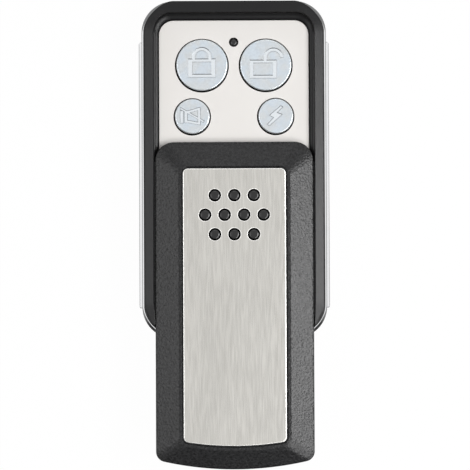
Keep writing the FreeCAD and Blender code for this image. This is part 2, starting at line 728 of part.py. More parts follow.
def make_front_shell():
    body = new_body("front_shell")
    outline = new_sketch(body, "outline", z=z_front)
    draw_rounded(outline, shell_half_width, shell_half_length, S.body_corner - S.shell_inset)
    block = pad(body, "block", outline, z_rim - z_front)
    fillet(body, "front_edge", block, S.front_edge, flat_at(z_rim))
    lip_height = S.band_height - S.lip_height - S.lip_meeting
    lip_outline = new_sketch(body, "lip", z=z_front - lip_height)
    draw_rounded(lip_outline, lip_half_width, lip_half_length, lip_corner)
    pad(body, "lip", lip_outline, lip_height)
    hollow = new_sketch(body, "hollow", z=z_front - lip_height)
    draw_rounded(hollow, inner_half_width, inner_half_length, inner_corner)
    cut_up(body, "hollow", hollow, lip_height + S.deck_recess)

    # Recess with its stepped ledge, open at the lower end
    below = -shell_half_length - S.cut_margin
    ledge_corner = S.recess_corner - S.ledge_width
    well_corner = ledge_corner - S.step_width
    for name, half_width, top, corner, level, above, edge in (
        ("recess", recess_half_width, recess_top, S.recess_corner, z_ledge, z_rim, S.rim_edge),
        ("ledge", ledge_half_width, ledge_top, ledge_corner, z_step, z_ledge, S.ledge_edge),
        ("well", well_half_width, well_top, well_corner, z_deck, z_step, S.ledge_edge),
    ):
        sketch = new_sketch(body, name, z=level)
        draw_tray(sketch, half_width, top, corner, below)
        opened = cut_up(body, name, sketch, z_rim - level)
        chamfer(body, f"{name}_edge", opened, edge, rim_of(half_width, top, above))

    # Undercut grooves that the cover's tongues run in
    grooves = new_sketch(body, "grooves", z=z_ledge)
    draw_span(grooves, -groove_half_width, groove_half_width, groove_bottom, groove_top)
    cut_up(body, "grooves", grooves, S.groove_height)

    # Seat of the key plate, and the holes through the deck
    seat_half_length = S.key_plate_length / 2 + S.key_plate_gap
    seat = new_sketch(body, "key_seat", y=key_plate_top - S.key_plate_length / 2, z=z_plate_seat)
    draw_rounded(seat, well_half_width, seat_half_length, S.key_plate_corner + S.key_plate_gap)
    cut_up(body, "key_seat", seat, S.key_plate_thickness)
    holes = new_sketch(body, "holes", z=z_deck)
    for _, x, y, diameter in BUTTONS:
        draw_circle(holes, x, y, diameter)
    draw_circle(holes, ZERO, guide_y, S.guide_hole)
    cut_down(body, "holes", holes, S.deck_thickness)

    # Bosses for the screws
    bosses = new_sketch(body, "bosses", z=z_board_top)
    pilots = new_sketch(body, "pilots", z=z_board_top)
    for x, y in BOSSES:
        draw_circle(bosses, x, y, S.pilot_diameter)
        draw_circle(pilots, x, y, S.screw_diameter + 2 * S.screw_gap)
    pad(body, "bosses", bosses, z_deck_under - z_board_top)
    cut_up(body, "pilots", pilots, S.screw_bite + 2 * S.screw_gap)

    # Cradle ribs above the cell
    ribs = new_sketch(body, "cradles", z=z_deck_under - S.cradle_reach)
    cell_middle = (cell_top + cell_bottom) / 2
    for side in (-1, 1):
        draw_rectangle(
            ribs,
            S.battery_diameter / 2 + S.bay_side_gap / 2,
            S.cradle_width / 2,
            y=cell_middle + side * S.cradle_spacing / 2,
        )
    pad(body, "cradles", ribs, S.cradle_reach)
    saddle = new_sketch(body, "saddle", "XZ_Plane", z=-cell_middle)
    draw_circle(saddle, ZERO, z_cell_axis, S.battery_diameter + 2 * S.cradle_gap)
    cut_across(body, "saddle", saddle, S.cradle_spacing + 2 * S.cradle_width)


def make_key_plate():
    body = new_body("key_plate", z=z_plate_seat)
    middle = key_plate_top - S.key_plate_length / 2
    outline = new_sketch(body, "outline", y=middle)
    draw_rounded(
        outline, well_half_width - S.key_plate_gap, S.key_plate_length / 2, S.key_plate_corner
    )
    plate = pad(body, "plate", outline, S.key_plate_thickness)
    chamfer(body, "edge", plate, S.key_plate_edge, flat_at(S.key_plate_thickness))
    holes = new_sketch(body, "holes")
    for _, x, y, diameter in BUTTONS:
        draw_circle(holes, x, y, diameter)
    draw_circle(holes, ZERO, guide_y, S.guide_hole)
    cut_up(body, "holes", holes, S.key_plate_thickness)


# Buttons, switches and indicator

def make_button(name, x, y, hole):
    body = new_body(f"button_{name}", x, y, z_flange)
    cap_radius = hole / 2 - S.cap_gap
    flange_radius = cap_radius + S.flange_width
    stem_radius = S.switch_bore / 2 - S.plunger_gap
    cap_top = z_deck + S.cap_rise - z_flange
    solid = turned(
        body,
        "cap",
        [
            (ZERO, -S.stem_length),
            (stem_radius, -S.stem_length),
            (stem_radius, ZERO),
            (flange_radius, ZERO),
            (flange_radius, S.flange_thickness),
            (cap_radius, S.flange_thickness),
            (cap_radius, cap_top),
            (ZERO, cap_top),
        ],
    )
    chamfer(body, "cap_edge", solid, S.cap_edge, flat_at(cap_top))


def make_switch(name, x, y):
    housing = new_body(f"switch_housing_{name}", x, y, z_board_top)
    outline = new_sketch(housing, "outline")
    draw_rectangle(outline, S.switch_width / 2, S.switch_width / 2)
    block = pad(housing, "block", outline, S.switch_height)
    chamfer(
        housing, "corners", block, S.frame_inset, lambda box: box.ZLength > S.switch_height.number / 2
    )
    bore = new_sketch(housing, "bore", z=S.switch_floor)
    draw_circle(bore, ZERO, ZERO, S.switch_bore)
    cut_up(housing, "bore", bore, S.switch_height - S.switch_floor)

    frame = new_body(f"switch_frame_{name}", x, y, z_switch_frame)
    sheet_outline = new_sketch(frame, "outline")
    half = S.switch_width / 2 - S.frame_inset
    draw_rectangle(sheet_outline, half, half)
    draw_circle(sheet_outline, ZERO, ZERO, S.switch_bore)
    pad(frame, "sheet", sheet_outline, S.frame_thickness)

    bottom = z_board_top + S.switch_floor + S.plunger_float
    plunger = new_body(f"switch_plunger_{name}", x, y, bottom)
    radius = S.switch_bore / 2 - S.plunger_gap
    height = z_plunger_top - bottom
    turned(plunger, "pin", [(ZERO, ZERO), (radius, ZERO), (radius, height), (ZERO, height)])


def make_light_guide():
    body = new_body("light_guide", ZERO, guide_y, z_deck_under)
    pin_radius = S.guide_hole / 2 - S.guide_gap
    pin_top = z_deck - z_deck_under - S.guide_sink
    solid = turned(
        body,
        "pin",
        [
            (ZERO, -S.guide_flange_height),
            (S.guide_flange / 2, -S.guide_flange_height),
            (S.guide_flange / 2, ZERO),
            (pin_radius, ZERO),
            (pin_radius, pin_top),
            (ZERO, pin_top),
        ],
    )
    chamfer(body, "tip", solid, pin_radius / 2, flat_at(pin_top))


# Slide cover

def make_slide_cover():
    body = new_body("slide_cover")
    outline = new_sketch(body, "outline", z=z_cover)
    draw_shield(
        outline,
        cover_half_width,
        cover_top,
        bulge_centre,
        S.cover_bulge,
        S.cover_top_corner,
        S.cover_bottom_corner,
    )
    pad(body, "block", outline, z_crown - z_cover)

    # Four slopes that meet in mitres: two long sides, the upper end, and the round lower end
    sides = new_sketch(body, "side_slopes", "XZ_Plane")
    above = z_crown + S.cut_margin
    for side in (-1, 1):
        crown = side * crown_half_width
        edge = side * cover_half_width
        outside = side * (cover_half_width + S.cut_margin)
        draw_polygon(
            sides,
            [(crown, z_crown), (edge, z_side), (outside, z_side), (outside, above), (crown, above)],
        )
    cut_across(body, "side_slopes", sides, 3 * S.cover_length)
    upper = new_sketch(body, "upper_slope", "YZ_Plane")
    beyond = cover_top + S.cut_margin
    draw_polygon(
        upper,
        [
            (crown_top, z_crown),
            (cover_top, z_side),
            (beyond, z_side),
            (beyond, above),
            (crown_top, above),
        ],
    )
    cut_across(body, "upper_slope", upper, 4 * cover_half_width)
    lower = new_sketch(body, "lower_slope", "YZ_Plane", x=bulge_centre)
    outside = -S.cover_bulge - S.cut_margin
    draw_polygon(
        lower,
        [
            (-crown_bulge, z_crown),
            (-S.cover_bulge, z_side),
            (outside, z_side),
            (outside, above),
            (-crown_bulge, above),
        ],
    )
    slope = body.newObject("PartDesign::Groove", "slide_cover_lower_slope")
    slope.Profile = lower
    slope.ReferenceAxis = (lower, ["V_Axis"])
    slope.Angle = 360
    side_level = z_side.number
    fillet(
        body,
        "slope_edges",
        slope,
        S.cover_edge,
        lambda box: box.ZLength < 1e-4 and abs(box.ZMin - side_level) < 1e-4,
    )

    # Hollow below, with end walls that pass over the buttons
    skirt_half = cover_half_width - S.cover_wall
    hollow = new_sketch(body, "hollow", z=z_cover)
    draw_shield(
        hollow,
        skirt_half,
        cover_top - S.cover_wall,
        bulge_centre,
        S.cover_bulge - S.cover_wall,
        S.cover_top_corner - S.cover_wall,
        S.cover_bottom_corner - S.cover_wall,
    )
    cut_up(body, "hollow", hollow, z_crown - S.cover_roof - z_cover)
    passage = new_sketch(body, "passage", z=z_cover)
    passage_bottom = cover_top - S.cover_length - S.cut_margin
    draw_span(passage, -skirt_half, skirt_half, passage_bottom, beyond)
    cut_up(body, "passage", passage, S.sweep_clearance)

    # Tongues that run in the grooves of the front shell
    tongues = new_sketch(body, "tongues", z=z_cover)
    reach = groove_half_width - S.tongue_side_gap
    draw_span(tongues, -reach, -skirt_half, tongue_bottom, tongue_top)
    draw_span(tongues, skirt_half, reach, tongue_bottom, tongue_top)
    pad(body, "tongues", tongues, S.groove_height - S.cover_lift - S.tongue_gap)

    # Seat of the metal plate, and ten pegs in three staggered rows
    seat = new_sketch(body, "plate_seat", z=z_plate_floor)
    draw_shield(
        seat,
        seat_half_width,
        seat_top,
        bulge_centre,
        seat_bulge,
        S.plate_corner + S.plate_gap,
        S.plate_corner + S.plate_gap,
    )
    cut_up(body, "plate_seat", seat, S.plate_depth)
    pegs = new_sketch(body, "pegs", z=z_plate_floor)
    for x, y in grip_places():
        draw_circle(pegs, x, y, S.grip_hole - 2 * S.peg_gap)
    peg_top = z_plate_floor + S.plate_thickness + S.peg_rise
    posts = pad(body, "pegs", pegs, peg_top - z_plate_floor)
    chamfer(body, "peg_edges", posts, S.peg_edge, flat_at(peg_top))


def grip_places():
    """Rows of three, four and three places, one pitch apart and staggered by half a pitch."""
    places = []
    middle = plate_top - S.grip_drop
    for row, count in ((1, 3), (0, 4), (-1, 3)):
        for index in range(count):
            offset = index - (count - 1) / 2
            places.append((offset * S.grip_pitch, middle + row * S.grip_pitch))
    return places


def make_cover_plate():
    body = new_body("cover_plate", z=z_plate_floor)
    outline = new_sketch(body, "outline")
    draw_shield(
        outline,
        seat_half_width - S.plate_gap,
        plate_top,
        bulge_centre,
        seat_bulge - S.plate_gap,
        S.plate_corner,
        S.plate_corner,
    )
    sheet = pad(body, "sheet", outline, S.plate_thickness)
    chamfer(body, "edge", sheet, S.plate_edge, flat_at(S.plate_thickness))
    holes = new_sketch(body, "holes")
    for x, y in grip_places():
        draw_circle(holes, x, y, S.grip_hole)
    cut_up(body, "holes", holes, S.plate_thickness)


# Battery door, cell and contacts

def make_battery_door():
    body = new_body("battery_door")
    skin = new_sketch(body, "skin")
    draw_span(skin, -door_half_width, door_half_width, -shell_half_length, door_top)
    plate = pad(body, "skin", skin, S.floor_thickness)
    end = -shell_half_length.number
    fillet(
        body,
        "back_edge",
        plate,
        S.back_edge,
        lambda box: box.YLength < 1e-4 and abs(box.YMin - end) < 1e-4 and box.ZMax < 1e-4,
    )
    tongues = new_sketch(body, "tongues", z=S.door_skin)
    reach = door_half_width + S.door_tongue
    draw_span(tongues, -reach, reach, S.back_edge - shell_half_length, door_top)
    pad(body, "tongues", tongues, S.floor_thickness - S.door_skin)
    grips = new_sketch(body, "grips")
    for index in range(DOOR_GRIPS):
        draw_rectangle(
            grips,
            S.grip_length / 2,
            S.grip_width / 2,
            y=S.grip_start + index * S.grip_spacing - shell_half_length,
        )
    cut_up(body, "grips", grips, S.grip_depth)


def make_battery():
    body = new_body("battery", z=z_cell_axis)
    sketch = new_sketch(body, "profile", "YZ_Plane")
    radius = S.battery_diameter / 2
    shoulder = cell_top - S.battery_nub
    nub = S.battery_nub_diameter / 2
    draw_polygon(
        sketch,
        [
            (cell_bottom, ZERO),
            (cell_bottom, radius),
            (shoulder, radius),
            (shoulder, nub),
            (cell_top, nub),
            (cell_top, ZERO),
        ],
    )
    can = body.newObject("PartDesign::Revolution", "battery_can")
    can.Profile = sketch
    can.ReferenceAxis = (sketch, ["H_Axis"])
    can.Angle = 360
    rims = (cell_bottom.number, shoulder.number)
    chamfer(
        body,
        "rims",
        can,
        S.battery_edge,
        lambda box: box.YLength < 1e-4
        and box.ZLength > 2 * nub.number + 1e-3
        and min(abs(box.YMin - rim) for rim in rims) < 1e-4,
    )


def add_box(name, x_span, y_span, z_span):
    """A Part::Box between two sheet-driven values on each axis."""
    box = doc.addObject("Part::Box", name)
    spans = ((x_span, "Length", "x"), (y_span, "Width", "y"), (z_span, "Height", "z"))
    for (low, high), side, axis in spans:
        bind(box, side, as_size(high) - low)
        bind(box, f"Placement.Base.{axis}", low)
    return box


def fuse(label, *shapes):
    fusion = doc.addObject("Part::MultiFuse", label)
    fusion.Shapes = list(shapes)
    fusion.Label = label
    pieces.append(fusion)
    return fusion


def make_contacts():
    half = S.contact_width / 2
    z_low = z_cell_axis - half
    z_high = z_cell_axis + half
    strip = bay_half_width + S.bay_wall
    strip_top = z_board
    strip_low = z_board - S.partition_thickness
    back = -inner_half_length
    fuse(
        "spring_terminal",
        add_box("spring_plate", (-half, strip), (back, spring_seat), (z_low, z_high)),
        add_box(
            "spring_strip",
            (strip, strip + S.contact_thickness),
            (back, board_bottom + S.contact_tab),
            (strip_low, strip_top),
        ),
    )
    tab = (-S.contact_tab / 2, S.contact_tab / 2)
    leg_end = partition_top + S.contact_thickness
    z_bridge = z_partition + S.contact_thickness
    fuse(
        "plus_contact",
        add_box("plus_plate", (-half, half), (cell_top, partition_bottom), (z_low, z_partition)),
        add_box("plus_bridge", tab, (cell_top, leg_end), (z_partition, z_bridge)),
        add_box("plus_leg", tab, (partition_top, leg_end), (z_board_top, z_bridge)),
        add_box(
            "plus_foot",
            tab,
            (partition_top, board_bottom + S.contact_tab),
            (z_board_top, z_board_top + S.contact_thickness),
        ),
    )


def arc_from(start, tangent, reach, end):
    """The arc that leaves start along its tangent and ends at end, with both tangents reach long."""
    corner = start + tangent * reach
    weight = start.distanceToPoint(end) / (2 * reach)
    shoulder = (start + corner * (2 * weight) + end) * (1 / (2 + 2 * weight))
    return Part.Arc(start, shoulder, end).toShape()


def biarc(start, start_tangent, end, end_tangent):
    """Two arcs that meet smoothly and keep the tangents at both ends."""
    chord = end - start
    along = chord.dot(start_tangent + end_tangent)
    closing = 2 * (1 - start_tangent.dot(end_tangent))
    reach = (math.sqrt(along ** 2 + closing * chord.dot(chord)) - along) / closing
    middle = (start + end + (start_tangent - end_tangent) * reach) * 0.5
    middle_tangent = (end - end_tangent * reach - middle).normalize()
    return [
        arc_from(start, start_tangent, reach, middle),
        arc_from(middle, middle_tangent, reach, end),
    ]


def helix_wire(radius, rise, turns, axis_point, along):
    """Biarcs of a quarter turn on a helix whose axis lies along X or Y and starts at axis_point."""
    steps = turns * 4

    def placed(advance, first, second):
        order = (advance, first, second) if along == "x" else (first, advance, second)
        return FreeCAD.Vector(*order)

    def point(quarters):
        angle = quarters * math.pi / 2
        offset = placed(rise * quarters / steps, radius * math.cos(angle), radius * math.sin(angle))
        return axis_point + offset

    def tangent(quarters):
        angle = quarters * math.pi / 2
        pace = rise / steps / (math.pi / 2)
        return placed(pace, -radius * math.sin(angle), radius * math.cos(angle)).normalize()

    arcs = []
    for step in range(steps):
        arcs += biarc(point(step), tangent(step), point(step + 1), tangent(step + 1))
    return Part.Wire(arcs)


def wire_section(start, direction, wire_diameter):
    """The wire's outline, with WIRE_SIDES flats, square to its first stretch."""
    side = direction.cross(FreeCAD.Vector(0, 0, 1)).normalize()
    other = direction.cross(side).normalize()
    corners = []
    for index in range(WIRE_SIDES + 1):
        angle = 2 * math.pi * index / WIRE_SIDES
        corners.append(start + (side * math.cos(angle) + other * math.sin(angle)) * (wire_diameter / 2))
    return Part.makePolygon(corners)


def least_gap(path, wire_diameter, samples=4):
    """Least distance between points at least three quarters of a turn apart, less the wire."""
    points = []
    for edge in path.Edges:
        points += edge.discretize(samples + 1)[:-1]
    apart = 6 * samples
    return min(
        points[low].distanceToPoint(points[high])
        for low in range(len(points))
        for high in range(low + apart, len(points))
    ) - wire_diameter


def make_coil(label, radius, wire_diameter, rise, turns, axis_point, along):
    """A wire swept along the helix, as a plain shape."""
    path = helix_wire(radius, rise, turns, axis_point, along)
    first = path.Edges[0]
    start = first.valueAt(first.FirstParameter)
    direction = first.tangentAt(first.FirstParameter)
    section = wire_section(start, direction, wire_diameter)
    coil = doc.addObject("Part::Feature", label)
    coil.Shape = path.makePipeShell([section], True, False)
    coil.Label = label
    pieces.append(coil)
    print(f"{label}: {turns} turns, least gap {least_gap(path, wire_diameter):.2f} mm")


def make_springs():
    wire = S.spring_wire.number
    margin = S.spring_face_gap.number
    rise = S.spring_length.number - wire - 2 * margin
    start = FreeCAD.Vector(0, spring_seat.number + wire / 2 + margin, z_cell_axis.number)
    radius = S.spring_diameter.number / 2
    make_coil("battery_spring", radius, wire, rise, SPRING_TURNS, start, "y")
    wire = S.coil_wire.number
    radius = S.coil_diameter.number / 2
    height = z_board_top.number + radius + wire / 2
    length = S.coil_length.number
    place = FreeCAD.Vector(-length / 2, board_top.number - 2 * radius, height)
    make_coil("antenna_coil", radius, wire, length, ANTENNA_TURNS, place, "x")


# Board and what is on it

def make_circuit_board():
    body = new_body("circuit_board", y=board_middle, z=z_board)
    outline = new_sketch(body, "outline")
    half_length = (board_top - board_bottom) / 2
    draw_rounded(outline, inner_half_width - S.board_gap, half_length, inner_corner - S.board_gap)
    pad(body, "sheet", outline, S.board_thickness)
    holes = new_sketch(body, "holes")
    for x in (-boss_x, boss_x):
        draw_circle(holes, x, boss_y - board_middle, S.screw_diameter + 2 * S.board_hole_gap)
    cut_up(body, "holes", holes, S.board_thickness)


def make_block(label, x, y, z, sizes, edge=None):
    """A small moulded part of the given width, length and height that stands on z."""
    width, length, height = sizes
    body = new_body(label, x, y, z)
    outline = new_sketch(body, "outline")
    draw_rectangle(outline, width / 2, length / 2)
    block = pad(body, "block", outline, height)
    if edge is not None:
        chamfer(body, "edge", block, edge, flat_at(height))


def make_board_parts():
    chip_y = (small_y + large_y) / 2
    small = (S.chip_part_length, S.chip_part_width, S.chip_part_height)
    transistor = (S.chip_part_length, S.trimmer_width, S.chip_part_width)
    chip = (S.chip_width, S.chip_length, S.chip_height)
    trimmer = (S.trimmer_width, S.trimmer_width, S.trimmer_height)
    make_block("led_chip", ZERO, guide_y, z_board_top, small)
    make_block("rf_transistor", ZERO, (chip_y + large_y) / 2, z_board_top, transistor)
    make_block("encoder_chip", -S.small_reach, chip_y, z_board - S.chip_height, chip)
    make_block("trimmer", ZERO, (small_y + chip_y) / 2, z_board_top, trimmer, S.trimmer_height / 4)
    can = new_body("resonator_can", S.small_reach, chip_y, z_board - S.can_height)
    radius = S.can_diameter / 2
    turned(
        can,
        "can",
        [
            (ZERO, ZERO),
            (radius - S.frame_inset, ZERO),
            (radius - S.frame_inset, S.can_height - S.frame_thickness),
            (radius, S.can_height - S.frame_thickness),
            (radius, S.can_height),
            (ZERO, S.can_height),
        ],
    )
    rows = (("chip_resistors", -1), ("chip_capacitors", 1))
    for label, side in rows:
        body = new_body(label, z=z_board - S.chip_part_height)
        outline = new_sketch(body, "outline")
        for index in range(CHIPS_IN_ROW):
            draw_rectangle(
                outline,
                S.chip_part_length / 2,
                S.chip_part_width / 2,
                x=side * S.chip_part_length,
                y=small_y + (index - 1) * 2 * S.chip_part_width,
            )
        pad(body, "parts", outline, S.chip_part_height)


def make_case_screws():
    body = new_body("case_screws")
    heads = new_sketch(body, "heads", z=S.head_sink)
    shanks = new_sketch(body, "shanks", z=S.head_sink + S.head_height)
    for x, y in BOSSES:
        draw_circle(heads, x, y, S.head_diameter)
        draw_circle(shanks, x, y, S.screw_diameter)
    pad(body, "heads", heads, S.head_height)
    pad(body, "shanks", shanks, z_board_top + S.screw_bite - S.head_sink - S.head_height)


def build_all():
    make_rear_shell()
    make_chrome_band()
    make_front_shell()
    make_key_plate()
    for name, x, y, hole in BUTTONS:
        make_button(name, x, y, hole)
        make_switch(name, x, y)
    make_light_guide()
    make_slide_cover()
    make_cover_plate()
    make_battery_door()
    make_battery()
    make_contacts()
    make_springs()
    make_circuit_board()
    make_board_parts()
    make_case_screws()
    doc.recompute()


def check_all():
    """Stops on a failed object, an empty or invalid shape, or a cut that removes nothing."""
    failed = [obj.Label for obj in doc.Objects if "Invalid" in obj.State or "Error" in obj.State]
    if failed:
        raise RuntimeError(f"failed: {failed}")
    for obj in doc.Objects:
        if obj.TypeId in ("PartDesign::Pocket", "PartDesign::Groove"):
            if obj.Shape.Volume >= obj.BaseFeature.Shape.Volume - 1e-6:
                raise RuntimeError(f"{obj.Label} cuts nothing")
    for piece in pieces:
        if piece.Shape.isNull() or not piece.Shape.isValid() or not piece.Shape.Solids:
            raise RuntimeError(f"{piece.Label} has no valid solid")


def write_all():
    os.makedirs("parts", exist_ok=True)
    for piece in pieces:
        piece.Shape.exportStep(f"parts/{piece.Label}.step")
    print(f"{len(pieces)} pieces written")


build_all()
check_all()
write_all()
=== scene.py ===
import json
import math

import bmesh
import bpy
from mathutils import Matrix, Vector


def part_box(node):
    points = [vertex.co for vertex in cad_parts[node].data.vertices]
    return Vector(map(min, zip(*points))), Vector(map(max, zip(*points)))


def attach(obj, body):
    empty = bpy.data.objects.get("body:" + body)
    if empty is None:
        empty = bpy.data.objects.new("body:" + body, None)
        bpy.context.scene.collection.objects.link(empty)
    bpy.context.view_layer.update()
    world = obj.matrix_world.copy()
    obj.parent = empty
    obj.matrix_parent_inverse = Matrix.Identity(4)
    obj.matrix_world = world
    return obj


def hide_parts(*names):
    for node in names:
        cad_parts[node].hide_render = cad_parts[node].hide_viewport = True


# Garage door remote with its slide cover down. Shapes are drawn in millimetres in the part's own frame and
# brought to metres as each piece is finished.

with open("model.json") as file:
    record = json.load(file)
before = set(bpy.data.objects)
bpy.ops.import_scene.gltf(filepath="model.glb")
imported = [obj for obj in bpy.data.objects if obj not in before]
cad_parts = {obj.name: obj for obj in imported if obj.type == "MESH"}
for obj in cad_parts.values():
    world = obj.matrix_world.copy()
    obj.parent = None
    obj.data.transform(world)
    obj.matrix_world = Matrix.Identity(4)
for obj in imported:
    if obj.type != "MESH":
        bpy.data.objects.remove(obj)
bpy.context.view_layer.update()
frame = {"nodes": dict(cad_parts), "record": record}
nodes = frame["nodes"]

MM = 0.001
TINY = 0.001


def corner_mm(node, which):
    """Lowest (0) or highest (1) corner of a node of the frame, in millimetres."""
    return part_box(node)[which] / MM


# Levels and lines taken from the frame

RIM_TOP = corner_mm("front_shell", 1).z
CASE_TOP = corner_mm("front_shell", 1).y
CASE_HALF = corner_mm("front_shell", 1).x
COVER_TOP = corner_mm("slide_cover", 1).y
COVER_BOTTOM = corner_mm("slide_cover", 0).y
COVER_LOW = corner_mm("slide_cover", 0).z
PLATE_LOW = corner_mm("cover_plate", 0)
PLATE_HIGH = corner_mm("cover_plate", 1)

# Outlines of the case, its recess and its band: half width, upper end and corner radius

CASE_OUTLINE = (CASE_HALF, CASE_TOP, 5.65)
RECESS_OUTLINE = (15.675, 30.2, 3.7)
BAND_OUTLINE = (18.0, CASE_TOP + 0.47, 6.15)

# Slide cover

COVER_HALF = 15.3
COVER_BULGE = 63.0
BULGE_CENTRE = COVER_BOTTOM + COVER_BULGE
COVER_TOP_CORNER = 3.7
COVER_BOTTOM_CORNER = 2.0
COVER_SIDE_HEIGHT = 1.2
COVER_RISE = 1.5
COVER_WALL = 1.4
COVER_ROOF = 1.6
END_WALL_LIFT = 0.3
HIP_SIDE = 4.6
HIP_TOP = 4.85
HIP_BOTTOM = 3.85
CROWN_CORNER = 2.0
EDGE_ROUNDING = 0.32
CROWN_ROUNDING = 0.3
SEAT_GAP = 0.2
PLATE_CORNER = 1.0
PLATE_TRIM = 0.06
PLATE_EDGE = 0.2
PLATE_EDGE_DROP = 0.09
GRIP_HOLE = 2.46
GRIP_PITCH = 3.76
GRIP_DROP = 9.0
PEG_GAP = 0.31
PEG_RISE = 0.02
PEG_DISH = 0.02
HOLE_BEVEL = (0.12, 0.018)

# Buttons

BUTTON_NAMES = ("lock", "unlock", "mute", "flash")
CAP_GAP = 0.25
FLANGE_REACH = 0.44
CAP_LEAN = (0.03, 0.07)

# Depth of each sign and how far its walls slope inwards

SIGN_CUTS = {"lock": (0.11, 0.18), "unlock": (0.11, 0.18), "mute": (0.08, 0.1), "flash": (0.09, 0.12)}

# Arcs are drawn with this many steps to a quarter turn

QUARTER = 14


# Outlines, as lists of (x, y) counterclockwise

def arc(x, y, radius, start, end, steps=QUARTER):
    """Points from one angle to another, both in degrees."""
    points = []
    for step in range(steps + 1):
        angle = math.radians(start + (end - start) * step / steps)
        points.append((x + radius * math.cos(angle), y + radius * math.sin(angle)))
    return points


def rounded_rectangle(half_width, low, high, radius):
    """A rectangle about the middle line, with round corners."""
    inner = half_width - radius
    return (
        arc(inner, low + radius, radius, 270, 360)
        + arc(inner, high - radius, radius, 0, 90)
        + arc(-inner, high - radius, radius, 90, 180)
        + arc(-inner, low + radius, radius, 180, 270)
    )


def shield(half_width, top, bulge, top_corner, bottom_corner, sides=24):
    """The cover's outline: straight top and sides, and a lower edge that bulges about its centre."""
    inner = half_width - bottom_corner
    low = BULGE_CENTRE - math.sqrt((bulge - bottom_corner) ** 2 - inner ** 2)
    turn = math.degrees(math.asin(inner / (bulge - bottom_corner)))
    points = arc(0, BULGE_CENTRE, bulge, 270 - turn, 270 + turn, 2 * sides)
    points += arc(inner, low, bottom_corner, 270 + turn, 360)[1:]
    points += straight((half_width, low), (half_width, top - top_corner), sides)
    points += arc(half_width - top_corner, top - top_corner, top_corner, 0, 90)
    points += straight((half_width - top_corner, top), (top_corner - half_width, top), sides)
    points += arc(top_corner - half_width, top - top_corner, top_corner, 90, 180)
    points += straight((-half_width, top - top_corner), (-half_width, low), sides)
    points += arc(-inner, low, bottom_corner, 180, 270 - turn)[:-1]
    return points


def straight(start, end, steps):
    """The points between start and end, both left out."""
    return [
        (
            start[0] + (end[0] - start[0]) * step / steps,
            start[1] + (end[1] - start[1]) * step / steps,
        )
        for step in range(1, steps)
    ]


# Meshes

def lofted(rings, close_first=True, close_last=True):
    """A skin through closed rings of (x, y, z) points that all have the same count."""
    mesh = bmesh.new()
    rows = [[mesh.verts.new(point) for point in ring] for ring in rings]
    count = len(rows[0])
    for low, high in zip(rows, rows[1:]):
        for index in range(count):
            after = (index + 1) % count
            mesh.faces.new((low[index], low[after], high[after], high[index]))
    if close_first:
        mesh.faces.new(list(reversed(rows[0])))
    if close_last:
        mesh.faces.new(rows[-1])
    return mesh


def at_height(outline, height):
    """A ring: an outline lifted to one height."""
    return [(x, y, height) for x, y in outline]


def box_mesh(low, high):
    """A plain block between two corners, rounded later with the piece that it belongs to."""
    outline = [(low[0], low[1]), (high[0], low[1]), (high[0], high[1]), (low[0], high[1])]
    return lofted([at_height(outline, low[2]), at_height(outline, high[2])])


def joined(*parts):
    """One mesh that holds several."""
    whole = bmesh.new()
    for part in parts:
        mesh = bpy.data.meshes.new("part")
        part.to_mesh(mesh)
        whole.from_mesh(mesh)
        part.free()
        bpy.data.meshes.remove(mesh)
    return whole


def copy_of(node):
    """A node's surface in millimetres, merged."""
    mesh = bmesh.new()
    mesh.from_mesh(nodes[node].data)
    bmesh.ops.scale(mesh, vec=(1 / MM, 1 / MM, 1 / MM), verts=mesh.verts)
    bmesh.ops.remove_doubles(mesh, verts=mesh.verts, dist=TINY)
    return mesh


def add_object(name, data):
    """A new object in the scene."""
    made = bpy.data.objects.new(name, data)
    bpy.context.scene.collection.objects.link(made)
    return made


def as_object(name, shape):
    """A new object, still in millimetres, from a shape that is used up."""
    mesh = bpy.data.meshes.new(name)
    shape.to_mesh(mesh)
    shape.free()
    return add_object(name, mesh)


def settle(made):
    """Bakes the modifiers into the mesh and takes them off."""
    bpy.context.view_layer.update()
    graph = bpy.context.evaluated_depsgraph_get()
    mesh = bpy.data.meshes.new_from_object(
        made.evaluated_get(graph), preserve_all_data_layers=True, depsgraph=graph
    )
    made.modifiers.clear()
    if made.type == "MESH":
        made.data = mesh
        return made
    settled = add_object(made.name, mesh)
    bpy.data.objects.remove(made)
    return settled


def cut_out(made, cutter):
    """Takes the cutter's shape out of a piece and removes the cutter."""
    cut = made.modifiers.new("cut", "BOOLEAN")
    cut.object = cutter
    cut.solver = "EXACT"
    settle(made)
    bpy.data.objects.remove(cutter)


def round_edges(made, width):
    """Rounds every sharp edge and bakes the result."""
    bevel = made.modifiers.new("edges", "BEVEL")
    bevel.width = width
    bevel.segments = 2
    bevel.limit_method = "ANGLE"
    bevel.angle_limit = math.radians(35)
    bevel.use_clamp_overlap = False
    bevel.miter_outer = "MITER_ARC"
    return settle(made)


def finish_piece(made, material, body, stands_for, sharp=50):
    """Evens the shading, keeps edges over sharp degrees crisp and hands the piece over in metres."""
    mesh = made.data
    mesh.shade_smooth()
    mesh.set_sharp_from_angle(angle=math.radians(sharp))
    weighted = made.modifiers.new("shading", "WEIGHTED_NORMAL")
    weighted.keep_sharp = True
    weighted.weight = 100
    settle(made)
    made.data.transform(Matrix.Scale(MM, 4))
    made.data.materials.clear()
    made.data.materials.append(material)
    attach(made, body)
    if stands_for:
        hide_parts(*stands_for)


# Shader maths

